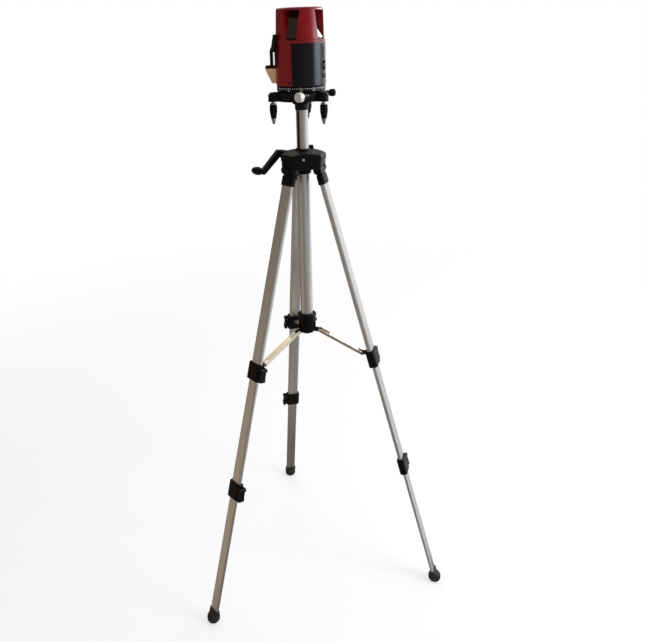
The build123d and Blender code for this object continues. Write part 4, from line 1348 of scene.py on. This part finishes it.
    def lamp(self, name, watts, size, tone, place, aim_height):
        """Flat lamp at a place, turned to a height on the column."""
        light = bpy.data.lights.new(name, "AREA")
        light.energy, light.color, light.shape = watts, tone, "RECTANGLE"
        light.size, light.size_y = size
        lamp = shown(name, light)
        aim = Vector((0, 0, aim_height)) - Vector(place)
        turn = aim.to_track_quat("-Z", "Y").to_matrix().to_4x4()
        lamp.matrix_world = Matrix.Translation(place) @ turn
        return lamp

    def spare_tubes(self, lamp):
        """Keeps a lamp off the bare tubes, whose flat faces would mirror it as plain white."""
        lit = bpy.data.collections.new("lit_by_" + lamp.name)
        for piece in bpy.context.scene.objects:
            if piece.type == "MESH" and "_tube" not in piece.name:
                lit.objects.link(piece)
        lamp.light_linking.receiver_collection = lit

    def camera(self, scene, studio):
        """Camera at the photograph's viewing angle."""
        pitch, yaw, roll = studio.camera_pitch, studio.camera_yaw, studio.camera_roll
        side = Vector((math.cos(yaw), math.sin(yaw), 0))
        level = Vector((-math.sin(yaw), math.cos(yaw), 0))
        rise = Vector((0, 0, 1))
        forward = level * math.cos(pitch) - rise * math.sin(pitch)
        up = level * math.sin(pitch) + rise * math.cos(pitch)
        across = side * math.cos(roll) - up * math.sin(roll)
        upward = side * math.sin(roll) + up * math.cos(roll)
        lens = bpy.data.cameras.new("camera")
        lens.lens, lens.sensor_width = studio.lens, 36.0
        lens.shift_x, lens.shift_y = studio.shift_x, studio.shift_y
        lens.clip_start, lens.clip_end = 0.05, 60.0
        camera = shown("camera", lens)
        turn = Matrix((across, upward, -forward)).transposed().to_4x4()
        place = (studio.camera_side, -studio.camera_back, studio.camera_height)
        camera.matrix_world = Matrix.Translation(place) @ turn
        scene.camera = camera
        scene.view_settings.view_transform = "Standard"


steps = (
    TRIPOD_OT_leg_tubes,
    TRIPOD_OT_braces,
    TRIPOD_OT_crown,
    TRIPOD_OT_clamps,
    TRIPOD_OT_hub,
    TRIPOD_OT_feet,
    TRIPOD_OT_column,
    TRIPOD_OT_crank,
    TRIPOD_OT_base,
    TRIPOD_OT_dial,
    TRIPOD_OT_housing,
    TRIPOD_OT_front,
    TRIPOD_OT_studio,
)


class TRIPOD_PT_steps(bpy.types.Panel):
    """Steps and values of the tripod"""
    bl_idname = "TRIPOD_PT_steps"
    bl_label = "Laser level tripod"
    bl_space_type = "VIEW_3D"
    bl_region_type = "UI"
    bl_category = "Tripod"

    def draw(self, context):
        for step in steps:
            self.layout.operator(step.bl_idname)
        for group in (context.scene.tripod_colours, context.scene.tripod_sizes, context.scene.tripod_studio):
            box = self.layout.box()
            for key in group.bl_rna.properties.keys():
                if key not in ("rna_type", "name"):
                    box.prop(group, key)


groups = {"tripod_colours": TripodColours, "tripod_sizes": TripodSizes, "tripod_studio": TripodStudio}


def register():
    """Adds the classes and their values to the scene."""
    for kind in (*groups.values(), *steps, TRIPOD_PT_steps):
        bpy.utils.register_class(kind)
    for key, kind in groups.items():
        setattr(bpy.types.Scene, key, PointerProperty(type=kind))


def unregister():
    """Takes them away again."""
    for key in groups:
        delattr(bpy.types.Scene, key)
    for kind in (TRIPOD_PT_steps, *reversed(steps), *groups.values()):
        bpy.utils.unregister_class(kind)


def main():
    """Runs every step in order."""
    register()
    for step in steps:
        family, name = step.bl_idname.split(".")
        getattr(getattr(bpy.ops, family), name)()
    bpy.context.view_layer.update()


if __name__ == "__main__":
    main()
